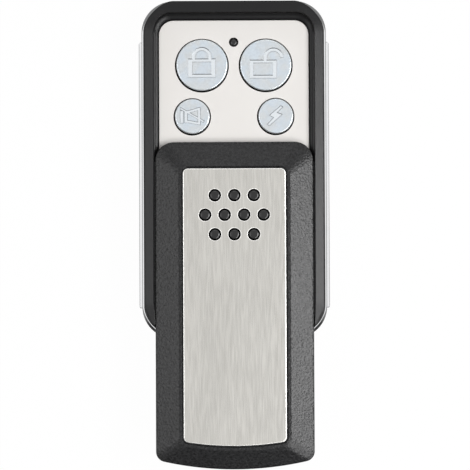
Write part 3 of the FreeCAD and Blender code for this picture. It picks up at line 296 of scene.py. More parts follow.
class Field:
    """A shader value that takes part in plain arithmetic; colours and vectors go through other nodes."""

    def __init__(self, tree, socket=None):
        self.tree = tree
        self.socket = socket

    def node(self, kind, settings=None, inputs=None, output=0):
        """Adds a node: settings first, then values or links for its sockets."""
        made = self.tree.nodes.new(kind)
        for name, value in (settings or {}).items():
            setattr(made, name, value)
        for key, value in (inputs or {}).items():
            if isinstance(value, Field):
                self.tree.links.new(value.socket, made.inputs[key])
            else:
                made.inputs[key].default_value = value
        return Field(self.tree, made.outputs[output] if made.outputs else None)

    def maths(self, operation, *values):
        """One step of arithmetic."""
        return self.node("ShaderNodeMath", {"operation": operation}, dict(enumerate(values)))

    def __add__(self, other):
        return self.maths("ADD", self, other)

    def __sub__(self, other):
        return self.maths("SUBTRACT", self, other)

    def __rsub__(self, other):
        return self.maths("SUBTRACT", other, self)

    def __mul__(self, other):
        return self.maths("MULTIPLY", self, other)

    __radd__ = __add__
    __rmul__ = __mul__

    def between(self, low, high, low_value=0.0, high_value=1.0):
        """Smooth change from low_value to high_value as self goes from low to high."""
        return self.node(
            "ShaderNodeMapRange",
            {"interpolation_type": "SMOOTHSTEP"},
            {"Value": self, 1: low, 2: high, 3: low_value, 4: high_value},
        )

    def mix(self, first, second):
        """Colour first where self is 0, second where it is 1."""
        return self.node(
            "ShaderNodeMix", {"data_type": "RGBA"}, {0: self, 6: first, 7: second}, output=2
        )


def srgb(red, green, blue):
    """A colour written as it looks on screen, 0 to 255, as linear values with alpha."""
    def linear(value):
        """One channel as a share of light."""
        share = value / 255
        return share / 12.92 if share <= 0.04045 else ((share + 0.055) / 1.055) ** 2.4

    return (linear(red), linear(green), linear(blue), 1.0)


class Finish:
    """A material in the making: its tree, its coordinates and the patterns drawn on them."""

    def __init__(self, name):
        self.material = bpy.data.materials.new(name)
        self.material.use_nodes = True
        self.tree = self.material.node_tree
        self.tree.nodes.clear()
        self.start = Field(self.tree)
        self.place = self.start.node("ShaderNodeTexCoord", output="Object")

    def stretched(self, along_x, along_y, along_z):
        """The object's coordinates with a scale of their own on each axis."""
        return self.start.node(
            "ShaderNodeMapping", None, {"Vector": self.place, "Scale": (along_x, along_y, along_z)}
        )

    def axis(self, name):
        """How far a point lies along X, Y or Z, in metres."""
        return self.start.node("ShaderNodeSeparateXYZ", None, {0: self.place}, output=name)

    def noise(self, grain_mm, detail=2.0, roughness=0.5, vector=None):
        """Soft random pattern, 0 to 1, whose features are about grain_mm across."""
        return self.start.node(
            "ShaderNodeTexNoise",
            None,
            {
                "Vector": vector or self.place,
                "Scale": 1 / (grain_mm * MM),
                "Detail": detail,
                "Roughness": roughness,
            },
        )

    def cells(self, grain_mm, feature="F1", output="Distance", **smoothing):
        """Random cells about grain_mm across, with soft borders where a Smoothness is given."""
        inputs = {"Vector": self.place, "Scale": 1 / (grain_mm * MM), **smoothing}
        return self.start.node("ShaderNodeTexVoronoi", {"feature": feature}, inputs, output=output)

    def bump(self, height, depth_mm):
        """Relief from a pattern that goes from 0 to 1."""
        inputs = {"Height": height, "Strength": 1.0, "Distance": depth_mm * MM}
        return self.start.node("ShaderNodeBump", None, inputs)

    def done(self, colour, roughness, bump=None, **constants):
        """Closes the material with one main shader. Underscores in names stand for spaces."""
        inputs = {"Base Color": colour, "Roughness": roughness}
        if bump is not None:
            inputs["Normal"] = bump
        for name, value in constants.items():
            inputs[name.replace("_", " ")] = value
        shader = self.start.node("ShaderNodeBsdfPrincipled", None, inputs)
        self.start.node("ShaderNodeOutputMaterial", None, {"Surface": shader})
        return self.material


# Finishes

CASE_SHEEN = 0.22
COVER_SHEEN = 0.28


def case_black():
    """Black moulded plastic with a fine spark texture."""
    finish = Finish("case_black")
    spark = finish.noise(0.16, detail=3.0, roughness=0.6)
    cloud = finish.noise(6.0)
    colour = cloud.mix(srgb(20, 20, 21), srgb(25, 25, 26))
    roughness = 0.24 + 0.1 * spark
    return finish.done(colour, roughness, finish.bump(spark, 0.016), Specular_IOR_Level=CASE_SHEEN)


def cover_black():
    """Black moulded plastic with a fine leather-like grain."""
    finish = Finish("cover_black")
    leather = finish.cells(0.4, "SMOOTH_F1", Smoothness=0.35)
    spark = finish.noise(0.13, detail=3.0)
    grain = leather * 0.8 + spark * 0.3
    mottle = finish.noise(0.45, detail=3.0).between(0.35, 0.65)
    colour = mottle.mix(srgb(14, 14, 15), srgb(36, 36, 37))
    roughness = 0.22 + 0.1 * spark
    return finish.done(colour, roughness, finish.bump(grain, 0.042), Specular_IOR_Level=COVER_SHEEN)


def peg_black():
    """Glossier black of the grip pegs, with painted shade: low down in the gap round each peg it turns
    pure black and reflects nothing.
    """
    finish = Finish("peg_black")
    spark = finish.noise(0.2)
    top = (PLATE_HIGH.z + PEG_RISE) * MM
    # Painted shade: below this height the colour goes near black and the metal share goes to 1, standing
    # in for the gap's shadow.
    outside_gap_shade = finish.axis("Z").between(top - 0.4 * MM, top - 0.25 * MM)
    black = spark.mix(srgb(8, 8, 8), srgb(16, 16, 16))
    colour = outside_gap_shade.mix(srgb(2, 2, 2), black)
    return finish.done(colour, 0.14 + 0.08 * spark, Metallic=1 - outside_gap_shade)


def bright_chrome():
    """Vacuum-plated plastic: mirror bright, with faint handling marks."""
    finish = Finish("bright_chrome")
    wear = finish.noise(1.4, detail=4.0, roughness=0.65)
    colour = wear.mix(srgb(226, 227, 229), srgb(240, 240, 240))
    roughness = wear.between(0.35, 0.75, 0.04, 0.12)
    return finish.done(colour, roughness, Metallic=1.0)


def key_plate_paint():
    """Warm white satin paint with very fine pearl."""
    finish = Finish("key_plate_paint")
    pearl = finish.noise(0.12)
    cloud = finish.noise(7.0)
    colour = cloud.mix(srgb(223, 220, 216), srgb(228, 225, 222))
    return finish.done(colour, 0.38 + 0.1 * pearl, finish.bump(pearl, 0.003))


def button_silver():
    """Cool silver paint with fine metal flakes, lighter in the cut signs and, as a painted highlight, on
    the cap's rounded edge, over a dark skirt: bare moulding, made pure black and non-reflecting as painted
    shade in the gap round the cap.
    """
    finish = Finish("button_silver")
    cells = finish.cells(0.15, output="Color")
    flake = finish.start.node("ShaderNodeSeparateColor", None, {0: cells})
    cloud = finish.noise(2.4, detail=3.0).between(0.35, 0.65)
    cool = flake.mix(srgb(194, 203, 211), srgb(206, 215, 223))
    grey = flake.mix(srgb(195, 199, 201), srgb(209, 213, 215))
    height = finish.axis("Z")
    face = corner_mm("button_lock", 1).z * MM
    # Lighter coat below the face: the polished floors of the signs, and a painted highlight on the cap's
    # rounded edge.
    on_top = height.between(face - 0.06 * MM, face - 0.015 * MM)
    # Painted shade: the skirt below goes near black with a full metal share, standing in for the shadow in
    # the gap round the cap.
    paint_above_skirt_shade = height.between(face - 0.55 * MM, face - 0.35 * MM)
    coat = on_top.mix(srgb(218, 223, 227), cloud.mix(cool, grey))
    colour = paint_above_skirt_shade.mix(srgb(3, 3, 3), coat)
    roughness = 0.23 + 0.04 * flake
    return finish.done(colour, roughness, finish.bump(flake * on_top, 0.0008), Metallic=1 - 0.3 * on_top)


def brushed_metal():
    """Aluminium brushed along the cover: long thin scratches in brightness, gloss and relief, with
    unbrushed edges painted near white as a highlight.
    """
    finish = Finish("brushed_metal")
    fine = finish.noise(0.13, detail=1.0, vector=finish.stretched(1, 0.03, 1))
    broad = finish.noise(0.6, vector=finish.stretched(1, 0.12, 1))
    cloud = finish.noise(7.0, vector=finish.stretched(1, 0.5, 1))
    scratch = fine * 0.6 + broad * 0.4
    shade = (scratch * 0.65 + cloud * 0.35).between(0.2, 0.8)
    brushed = shade.mix(srgb(183, 181, 176), srgb(196, 194, 189))
    top = PLATE_HIGH.z * MM
    # Painted highlight: the rounded edges and hole mouths below the top take a near-white colour, so they
    # read as a bright line.
    on_top = finish.axis("Z").between(top - 0.012 * MM, top - 0.001 * MM)
    colour = on_top.mix(srgb(236, 235, 232), brushed)
    roughness = 0.42 - on_top * scratch.between(0.3, 0.7, 0.18, 0.11)
    return finish.done(colour, roughness, finish.bump(scratch * on_top, 0.002), Metallic=1.0)


def smoke_plastic():
    """Dark clear plastic of the indicator."""
    finish = Finish("smoke_plastic")
    cloud = finish.noise(0.5)
    colour = cloud.mix(srgb(8, 8, 8), srgb(18, 17, 17))
    return finish.done(colour, 0.2 + 0.1 * cloud)


def plain_finish(name, dark, light, grain_mm, roughness, metallic=0.0, depth_mm=0.0):
    """A finish for the inner pieces: two near shades over a fine pattern."""
    finish = Finish(name)
    pattern = finish.noise(grain_mm, detail=3.0)
    colour = pattern.mix(srgb(*dark), srgb(*light))
    bump = finish.bump(pattern, depth_mm) if depth_mm else None
    varied = pattern.between(0.3, 0.7, roughness - 0.06, roughness + 0.08)
    return finish.done(colour, varied, bump, Metallic=metallic)


FINISHES = {
    "case_black": case_black(),
    "cover_black": cover_black(),
    "peg_black": peg_black(),
    "band_chrome": bright_chrome(),
    "key_plate_white": key_plate_paint(),
    "button_silver": button_silver(),
    "plate_brushed": brushed_metal(),
    "guide_smoke": smoke_plastic(),
    "board_green": plain_finish("board_green", (22, 74, 44), (34, 96, 58), 0.8, 0.42),
    "cell_skin": plain_finish("cell_skin", (44, 50, 62), (58, 66, 80), 2.5, 0.34),
    "contact_nickel": plain_finish("contact_nickel", (176, 172, 160), (204, 200, 190), 0.6, 0.28, 1.0),
    "screw_steel": plain_finish("screw_steel", (120, 120, 122), (168, 168, 168), 0.3, 0.34, 1.0, 0.004),
    "led_clear": plain_finish("led_clear", (214, 208, 186), (236, 230, 210), 0.4, 0.2),
    "chip_black": plain_finish("chip_black", (20, 20, 22), (34, 34, 36), 0.3, 0.5, 0.0, 0.006),
    "chip_ceramic": plain_finish("chip_ceramic", (150, 128, 98), (178, 156, 122), 0.3, 0.5),
    "coil_copper": plain_finish("coil_copper", (150, 82, 44), (188, 108, 60), 0.5, 0.3, 1.0),
    "switch_black": plain_finish("switch_black", (26, 26, 28), (38, 38, 40), 0.4, 0.46, 0.0, 0.005),
    "plunger_brown": plain_finish("plunger_brown", (84, 58, 42), (106, 76, 56), 0.4, 0.44),
}


# Case

def tilt_rims(mesh):
    """Lowers the outer edge of the side rims, less and less round the corners."""
    drop = 0.37
    edge_inset = 0.4
    upper_fade, lower_fade = 1.5, 0.5
    corner = CASE_OUTLINE[2]
    for vertex in mesh.verts:
        place = vertex.co
        outward = past_corner(place, CASE_OUTLINE, both_ends=True)
        if place.z > RIM_TOP - edge_inset and outward.length > corner - edge_inset:
            fade = upper_fade if place.y > 0 else lower_fade
            place.z -= drop * (outward.x / outward.length) ** fade


def tilt_ledges(mesh):
    """The two ledges round the key plate fall slightly towards it: their inner edges come down."""
    drop = 0.17
    edges = ((11.95, 0.3), (11.7, 0.8))
    height_margin, inset_margin = 0.1, 0.25
    corner = RECESS_OUTLINE[2]
    for level, inset in edges:
        for vertex in mesh.verts:
            place = vertex.co
            inwards = corner - past_corner(place, RECESS_OUTLINE).length
            if abs(place.z - level) < height_margin and inset < inwards < inset + inset_margin:
                place.z -= drop


def close_lips(mesh):
    """The lips over the cover's grooves reach closer to the cover than the recess wall below them."""
    reach = 0.13
    lip_low = 12.7
    whole, none = 0.15, 0.55
    corner = RECESS_OUTLINE[2]
    for vertex in mesh.verts:
        place = vertex.co
        outward = past_corner(place, RECESS_OUTLINE)
        beyond = outward.length - corner
        if place.z > lip_low and beyond > -TINY:
            share = min(max((none - beyond) / (none - whole), 0.0), 1.0)
            place.x -= math.copysign(reach * share * (outward.x / outward.length) ** 2, place.x)


def cut_back_corners(mesh):
    """The front half's outer corners are rounder than the band's, which shows round them as a crescent."""
    upper_depth, lower_depth = 0.45, 0.28
    narrowing = 1.3
    skin = 0.8
    corner = CASE_OUTLINE[2]
    for vertex in mesh.verts:
        outward = past_corner(vertex.co, CASE_OUTLINE, both_ends=True)
        depth = upper_depth if vertex.co.y > 0 else lower_depth
        if outward.length > corner - skin:
            move_inwards(vertex.co, outward, depth * corner_share(outward) ** narrowing)


def corner_share(outward):
    """0 on an outline's straights, 1 in the middle of its corners."""
    return 2 * outward.x * outward.y / outward.length_squared


def move_inwards(place, outward, reach):
    """Moves a point towards the centre of its corner."""
    step = outward.normalized() * reach
    place.x -= math.copysign(step.x, place.x)
    place.y -= math.copysign(step.y, place.y)


def past_corner(place, outline, both_ends=False):
    """How far a point lies beyond the centres of an outline's corners, across and along."""
    half, top, corner = outline
    along = abs(place.y) if both_ends else place.y
    return Vector((max(abs(place.x) - (half - corner), 0.0), max(along - (top - corner), 0.0)))


def cut_across(mesh, *levels):
    """Splits the faces along lines across the body, so that each stretch keeps its own shading."""
    for level in levels:
        everything = mesh.verts[:] + mesh.edges[:] + mesh.faces[:]
        bmesh.ops.bisect_plane(mesh, geom=everything, plane_co=(0, level, 0), plane_no=(0, 1, 0))


def make_shells():
    """Front half with its tilted rims, rear half and battery door."""
    shading_breaks = (-26.7, -25.5, 25.5, 26.4)
    front = copy_of("front_shell")
    cut_across(front, *shading_breaks)
    tilt_rims(front)
    tilt_ledges(front)
    close_lips(front)
    cut_back_corners(front)
    for name, shape, body, node in (
        ("front_moulding", front, "case", "front_shell"),
        ("rear_moulding", copy_of("rear_shell"), "case", "rear_shell"),
        ("door_moulding", copy_of("battery_door"), "door", "battery_door"),
    ):
        finish_piece(as_object(name, shape), FINISHES["case_black"], body, [node])


def bevelled_levels(low, high, inset, fall):
    """Insets and heights of an upright wall with a bevel at either end."""
    return [(inset, low), (0.0, low + fall), (0.0, high - fall), (inset, high)]


def band_ring(low, high):
    """The closed ring between the shells; its upper bevel grows wider and deeper round the corners."""
    half, length, corner = BAND_OUTLINE
    wall = 1.35
    inset, fall = 0.12, 0.09
    wider, deeper = 0.41, 0.29
    rings = []
    for inwards, height in bevelled_levels(low, high, inset, fall) + [(wall, high), (wall, low)]:
        outline = rounded_rectangle(half - inwards, inwards - length, length - inwards, corner - inwards)
        rings.append(at_height(outline, height))
    ring = lofted(rings + rings[:1], close_first=False, close_last=False)
    bmesh.ops.remove_doubles(ring, verts=ring.verts, dist=TINY)
    for vertex in ring.verts:
        place = vertex.co
        outward = past_corner(place, BAND_OUTLINE, both_ends=True)
        if outward.length > corner - inset - TINY:
            share = corner_share(outward)
            if abs(place.z - high) < TINY:
                move_inwards(place, outward, wider * share)
            elif abs(place.z - high + fall) < TINY:
                place.z -= deeper * share
    return ring


def band_rail(side, low, high):
    """Grip rail on a long side of the band."""
    outer, inner = corner_mm("chrome_band", 1).x, 16.9
    bottom, top = -27.0, 24.9
    inset, fall = 0.1, 0.07
    corner = 0.3
    rings = []
    for inwards, height in bevelled_levels(low, high, inset, fall):
        half = (outer - inner) / 2 - inwards
        rings.append(at_height(rounded_rectangle(half, bottom + inwards, top - inwards, corner), height))
    rail = lofted(rings)
    bmesh.ops.translate(rail, vec=(side * (outer + inner) / 2, 0, 0), verts=rail.verts)
    return rail


def make_band():
    """The bright ring with a rail on each long side."""
    low, high = corner_mm("chrome_band", 0).z, corner_mm("chrome_band", 1).z
    margin = 0.4
    rails = [band_rail(side, low + margin, high - margin) for side in (-1, 1)]
    made = as_object("bright_band", joined(band_ring(low, high), *rails))
    finish_piece(made, FINISHES["band_chrome"], "case", ["chrome_band"], sharp=20)


# Key plate and buttons

def sign_cutter(loops, level, depth, slope):
    """The solid that cuts a sign: its outline lies on the given level, its walls slope inwards below."""
    curve = bpy.data.curves.new("cutter", "CURVE")
    curve.dimensions = "2D"
    curve.fill_mode = "BOTH"
    curve.bevel_depth = slope
    curve.bevel_resolution = 0
    curve.offset = -slope
    for loop in loops:
        spline = curve.splines.new("POLY")
        spline.points.add(len(loop) - 1)
        for point, (x, y) in zip(spline.points, loop):
            point.co = (x, y, 0, 1)
        spline.use_cyclic_u = True
    made = settle(add_object("cutter", curve))
    mesh = bmesh.new()
    mesh.from_mesh(made.data)
    bmesh.ops.scale(mesh, vec=(1, 1, depth / slope), verts=mesh.verts)
    bmesh.ops.translate(mesh, vec=(0, 0, level), verts=mesh.verts)
    bmesh.ops.remove_doubles(mesh, verts=mesh.verts, dist=TINY)
    bmesh.ops.recalc_face_normals(mesh, faces=mesh.faces)
    mesh.to_mesh(made.data)
    mesh.free()
    return made


def button_hole(name):
    """Middle and hole radius of a button."""
    low = corner_mm(f"button_{name}", 0)
    high = corner_mm(f"button_{name}", 1)
    radius = (high.x - low.x) / 2 - FLANGE_REACH
    return (low.x + high.x) / 2, (low.y + high.y) / 2, radius


def make_key_plate():
    """The plate keeps its solid's shape and gets its paint."""
    made = as_object("painted_plate", copy_of("key_plate"))
    finish_piece(made, FINISHES["key_plate_white"], "case", ["key_plate"])


def turned_shape(profile, x=0.0, y=0.0, steps=64):
    """A solid of revolution about an upright axis from (radius, height) points, lowest first."""
    rings = []
    for radius, height in profile:
        rings.append(at_height(arc(x, y, radius, 0, 360, steps)[:-1], height))
    return lofted(rings)


def rounded_step(radius, height, rounding, steps=8):
    """Profile points that round a turned shape's upper edge."""
    points = []
    for step in range(steps + 1):
        angle = math.pi / 2 * step / steps
        across = radius - rounding + rounding * math.cos(angle)
        points.append((across, height - rounding + rounding * math.sin(angle)))
    return points


def padlock():
    """Closed padlock: a frame with a shackle on it."""
    side, top, bottom = 2.74, 1.36, -2.4
    shackle, inner, spring = 1.98, 1.18, 1.62
    outline = [(-side, bottom), (side, bottom), (side, top), (shackle, top)]
    outline += arc(0, spring, shackle, 0, 180, 24)
    outline += [(-shackle, top), (-side, top)]
    eye = [(-inner, top), (inner, top)] + arc(0, spring, inner, 0, 180, 20)
    window = [(-1.74, -1.62), (1.74, -1.62), (1.74, 0.58), (-1.74, 0.58)]
    return [outline, eye, window]


def open_padlock():
    """Open padlock: the shackle stands to the right on one leg."""
    left, right, top, bottom = -3.22, 2.2, 1.08, -2.62
    centre, spring, outer, inner = 1.52, 1.42, 2.0, 1.2
    outline = [(left, bottom), (right, bottom), (right, top), (centre - inner, top)]
    outline += list(reversed(arc(centre, spring, inner, 0, 180, 20)))
    outline += arc(centre, spring, outer, 0, 180, 24)
    outline += [(centre - outer, top), (left, top)]
    window = [(-2.3, -1.86), (1.27, -1.86), (1.27, 0.36), (-2.3, 0.36)]
    return [outline, window]


def bar(start, end, width):
    """A straight bar with square ends."""
    along = Vector(end) - Vector(start)
    across = Vector((-along.y, along.x)).normalized() * width / 2
    corners = [Vector(start) - across, Vector(end) - across, Vector(end) + across, Vector(start) + across]
    return [tuple(corner) for corner in corners]


def loudspeaker():
    """Crossed-out loudspeaker: magnet, horn outline and a slash."""
    magnet = [(-2.38, -1.3), (-1.66, -1.3), (-1.66, 1.22), (-2.38, 1.22)]
    horn = [(-1.52, -1.24), (-0.72, -1.24), (1.64, -1.7), (1.64, 1.95), (-0.72, 1.22), (-1.52, 1.22)]
    inner = [(-0.88, -0.66), (-0.6, -0.66), (1.04, -1.0), (1.04, 1.16), (-0.6, 0.66), (-0.88, 0.66)]
    slash = bar((-2.35, 1.66), (2.3, -1.0), 0.46)
    return [[magnet], [horn, inner], [slash]]


def lightning():
    """Lightning bolt."""
    upper = [(1.5, 1.82), (0.98, 2.15), (-1.35, 0.2), (-0.5, -0.22)]
    lower = [(-1.75, -1.58), (-1.25, -1.88), (1.42, 0.4), (0.38, 0.78)]
    return [upper + lower]


SIGNS = {
    "lock": [padlock()],
    "unlock": [open_padlock()],
    "mute": loudspeaker(),
    "flash": [lightning()],
}


def make_button(name):
    """One button: stem, flange under the plate, rounded cap that leans a little, and its cut sign."""
    node = f"button_{name}"
    low, high = corner_mm(node, 0), corner_mm(node, 1)
    x, y, hole = button_hole(name)
    cap = hole - CAP_GAP
    rounding = 0.26
    stem = 1.6
    flange = high.x - x
    flange_low = low.z + 0.3
    flange_top = flange_low + 0.8
    profile = [(stem, low.z), (stem, flange_low), (flange, flange_low), (flange, flange_top)]
    profile += [(cap, flange_top)] + rounded_step(cap, high.z, rounding)
    shape = turned_shape(profile, x, y)
    for vertex in shape.verts:
        if vertex.co.z > flange_top or (vertex.co - Vector((x, y, flange_top))).length < cap + TINY:
            vertex.co.x += CAP_LEAN[0]
            vertex.co.y += CAP_LEAN[1]
    made = as_object(f"cap_{name}", shape)
    for loops in SIGNS[name]:
        placed = [[(x + across, y + up) for across, up in loop] for loop in loops]
        cut_out(made, sign_cutter(placed, high.z, *SIGN_CUTS[name]))
    finish_piece(made, FINISHES["button_silver"], f"{name}_key", [node], sharp=15)


def make_light_guide():
    """Indicator pin with a dome on top and a collar under the plate."""
    low, high = corner_mm("light_guide", 0), corner_mm("light_guide", 1)
    middle = (low + high) / 2
    collar, collar_top = (high.x - low.x) / 2, low.z + 0.9
    pin, dome = 0.875, 0.6
    profile = [(collar, low.z), (collar, collar_top), (pin, collar_top)]
    profile += rounded_step(pin, high.z, dome, 6)
    made = as_object("indicator_lens", turned_shape(profile, middle.x, middle.y, 40))
    finish_piece(made, FINISHES["guide_smoke"], "case", ["light_guide"])


# Node trees for what repeats

def group_tree(name, *labels):
    """A tree with a geometry input and output and named inputs: a material, an object or numbers."""
    kinds = {"Material": "NodeSocketMaterial", "Drill": "NodeSocketObject"}
    tree = bpy.data.node_groups.new(name, "GeometryNodeTree")
    tree.interface.new_socket("Geometry", in_out="INPUT", socket_type="NodeSocketGeometry")
    for label in labels:
        tree.interface.new_socket(label, in_out="INPUT", socket_type=kinds.get(label, "NodeSocketFloat"))
    tree.interface.new_socket("Geometry", in_out="OUTPUT", socket_type="NodeSocketGeometry")
    return tree


def tree_node(tree, kind, settings=None, inputs=None):
    """Adds a node to a tree: settings first, then values or links for its sockets."""
    made = tree.nodes.new(kind)
    for name, value in (settings or {}).items():
        setattr(made, name, value)
    for key, value in (inputs or {}).items():
        if isinstance(value, bpy.types.NodeSocket):
            tree.links.new(value, made.inputs[key])
        else:
            made.inputs[key].default_value = value
    return made


def apply_tree(made, tree, values):
    """Runs a node tree on an object, sets its inputs by their identifiers and keeps the plain result."""
    modifier = made.modifiers.new(tree.name, "NODES")
    modifier.node_group = tree
    for item in tree.interface.items_tree:
        if item.in_out == "INPUT" and item.name in values:
            modifier[item.identifier] = values[item.name]
    return settle(made)


def finish_tree(tree, geometry, material):
    """Ends a tree: real geometry in place of copies, with the given material."""
    real = tree_node(tree, "GeometryNodeRealizeInstances", None, {0: geometry})
    inputs = {"Geometry": real.outputs[0], "Material": material}
    coloured = tree_node(tree, "GeometryNodeSetMaterial", None, inputs)
    tree_node(tree, "NodeGroupOutput", None, {0: coloured.outputs[0]})


def set_on_points(tree, points, instance):
    """A copy of a shape at every point."""
    inputs = {"Points": points, "Instance": instance}
    return tree_node(tree, "GeometryNodeInstanceOnPoints", None, inputs).outputs[0]


# Case screws, seen on the back: one screw is turned and cut, a node tree sets the four

def cross_outline(reach, width):
    """A cross with arms of the given reach and width."""
    half = width / 2
    quarter = [(reach, -half), (reach, half), (half, half)]
    points = []
    for turn in range(4):
        for x, y in quarter:
            for _ in range(turn):
                x, y = -y, x
            points.append((x, y))
    return points


def screw_blank(face, seat, tip):
    """One screw on the frame's own axis: domed head, threaded shank and blunt point, head lowest."""
    head, shank, root = 1.75, 0.95, 0.78
    pitch, half_thread = 0.55, 0.11
    thread_start, thread_end = seat + 0.6, tip - 1.2
    point_start, point = tip - 0.9, 0.25
    profile = [(0.4, face), (1.1, face + 0.03), (1.5, face + 0.13), (head, face + 0.36)]
    profile += [(head, seat), (root, seat)]
    height = thread_start
    while height < thread_end:
        profile += [(root, height), (shank, height + half_thread), (root, height + 2 * half_thread)]
        height += pitch
    profile += [(root, point_start), (point, tip)]
    made = as_object("screw", turned_shape(profile, steps=28))
    above, depth = 0.1, 0.75
    wide, deep = cross_outline(1.15, 0.42), cross_outline(0.45, 0.22)
    recess = lofted([at_height(wide, face - above), at_height(deep, face + depth)])
    cut_out(made, as_object("cutter", recess))
    return made


def screw_tree():
    """Sets a copy of the given screw at the four corners of a rectangle."""
    tree = group_tree("case_screws", "Across", "Along", "Material")
    start = tree_node(tree, "NodeGroupInput").outputs
    inputs = {"Size X": start["Across"], "Size Y": start["Along"], "Vertices X": 2, "Vertices Y": 2}
    corners = tree_node(tree, "GeometryNodeMeshGrid", None, inputs)
    screws = set_on_points(tree, corners.outputs["Mesh"], start["Geometry"])
    finish_tree(tree, screws, start["Material"])
    return tree


def make_screws():
    """The four screws of the back."""
    low, high = corner_mm("case_screws", 0), corner_mm("case_screws", 1)
    head_width, head_height = 3.6, 1.2
    across = high.x - low.x - head_width
    along = high.y - low.y - head_width
    material = FINISHES["screw_steel"]
    screw = screw_blank(low.z, low.z + head_height, high.z)
    made = apply_tree(screw, screw_tree(), {"Across": across, "Along": along, "Material": material})
    middle = (low + high) / 2
    made.data.transform(Matrix.Translation((middle.x, middle.y, 0)))
    finish_piece(made, material, "case", ["case_screws"], sharp=40)


# Slide cover

def cover_ring(inset, height, share=0.0, lift_ends=0.0):
    """One level of the cover: inset from its outline, plus a share of the slopes towards the crown."""
    least_corner = 0.3
    top_corner = COVER_TOP_CORNER - inset + (CROWN_CORNER - COVER_TOP_CORNER) * share
    bottom_corner = COVER_BOTTOM_CORNER - inset + (CROWN_CORNER - COVER_BOTTOM_CORNER) * share
    outline = shield(
        COVER_HALF - inset - HIP_SIDE * share,
        COVER_TOP - inset - HIP_TOP * share,
        COVER_BULGE - inset - HIP_BOTTOM * share,
        max(top_corner, least_corner),
        max(bottom_corner, least_corner),
    )
    skirt = COVER_HALF - COVER_WALL
    return [(x, y, height + (lift_ends if abs(x) < skirt else 0)) for x, y in outline]


def cover_skin():
    """From the roof of the hollow, down and round the skirt, up the slopes and into the plate's seat."""
    side_top = COVER_LOW + COVER_SIDE_HEIGHT
    crown = side_top + COVER_RISE
    roof = crown - COVER_ROOF
    foot_bevel = 0.12
    rings = [
        cover_ring(COVER_WALL, roof),
        cover_ring(COVER_WALL, COVER_LOW, lift_ends=END_WALL_LIFT),
        cover_ring(foot_bevel, COVER_LOW, lift_ends=END_WALL_LIFT),
        cover_ring(0.0, COVER_LOW + foot_bevel, lift_ends=END_WALL_LIFT),
    ]
    return lofted(rings + slope_rings(side_top) + seat_rings(crown))


def slope_rings(side_top):
    """Upright side, its rounding into the slope, the slope and its rounding into the crown."""
    edge_steps, slope_steps, crown_steps = 5, 12, 3
    edge_reach, edge_climb = 0.55 * EDGE_ROUNDING, 1.05 * EDGE_ROUNDING
    crown_climb = 0.62
    first, last = 0.09, 1 - CROWN_ROUNDING / HIP_SIDE
    rings = [cover_ring(0.0, side_top - EDGE_ROUNDING)]
    for step in range(1, edge_steps):
        angle = math.radians(90 * step / edge_steps)
        height = side_top - EDGE_ROUNDING + edge_climb * math.sin(angle)
        rings.append(cover_ring(edge_reach * (1 - math.cos(angle)), height))
    for step in range(slope_steps + 1):
        share = first + (last - first) * step / slope_steps
        rings.append(cover_ring(0.0, side_top + COVER_RISE * share, share))
    for step in range(1, crown_steps + 1):
        share = last + (1 - last) * step / crown_steps
        flat = 1 - (1 - step / crown_steps) ** 2
        climb = last + (1 - last) * flat * crown_climb
        rings.append(cover_ring(0.0, side_top + COVER_RISE * climb, share))
    return rings


def plate_outline(inset, gap=0.0):
    """The outline of the cover's plate, or of its seat where a gap is given."""
    half = PLATE_HIGH.x + gap
    top = PLATE_HIGH.y + gap
    bulge = BULGE_CENTRE - PLATE_LOW.y + gap
    corner = PLATE_CORNER - inset
    return shield(half - inset, top - inset, bulge - inset, corner, corner)


def seat_rings(crown):
    """Flat crown beside the plate, and the seat that the plate lies in."""
    edge = 0.13
    levels = ((-edge, crown), (-0.4 * edge, crown - 0.2 * edge), (0.0, crown - edge), (0.0, PLATE_LOW.z))
    return [at_height(plate_outline(inset, SEAT_GAP), height) for inset, height in levels]


def cover_tongues():
    """The two tongues that run in the grooves of the case."""
    low, high = corner_mm("slide_cover", 0), corner_mm("slide_cover", 1)
    bottom, top = -28.7, COVER_TOP - 3.8
    thickness = 0.55
    rounding = 0.08
    skirt = COVER_HALF - COVER_WALL / 2
    right = box_mesh((skirt, bottom, low.z), (high.x, top, low.z + thickness))
    left = box_mesh((-high.x, bottom, low.z), (-skirt, top, low.z + thickness))
    return round_edges(as_object("cover_tongues", joined(left, right)), rounding)


def make_slide_cover():
    """The hipped moulding and its tongues."""
    skin = as_object("cover_moulding", cover_skin())
    finish_piece(skin, FINISHES["cover_black"], "cover", ["slide_cover"])
    finish_piece(cover_tongues(), FINISHES["cover_black"], "cover", ())


# Grip pattern: staggered rows, made by one node tree for the holes and one for the pegs

def grip_rows(tree, start):
    """Points of the grip pattern: rows of three, four and three, each moved by half a pitch."""
    pitch = start["Pitch"]
    points = tree_node(tree, "GeometryNodeJoinGeometry")
    for row, count in ((1, 3), (0, 4), (-1, 3)):
        inputs = {0: pitch, 1: -(count - 1) / 2}
        across = tree_node(tree, "ShaderNodeMath", {"operation": "MULTIPLY"}, inputs)
        inputs = {0: pitch, 1: float(row), 2: start["Middle"]}
        up = tree_node(tree, "ShaderNodeMath", {"operation": "MULTIPLY_ADD"}, inputs)
        first = tree_node(tree, "ShaderNodeCombineXYZ", None, {0: across.outputs[0], 1: up.outputs[0]})
        step = tree_node(tree, "ShaderNodeCombineXYZ", None, {0: pitch})
        inputs = {"Count": count, "Start Location": first.outputs[0], "Offset": step.outputs[0]}
        line = tree_node(tree, "GeometryNodeMeshLine", {"mode": "OFFSET"}, inputs)
        tree.links.new(line.outputs[0], points.inputs[0])
    return points.outputs[0]


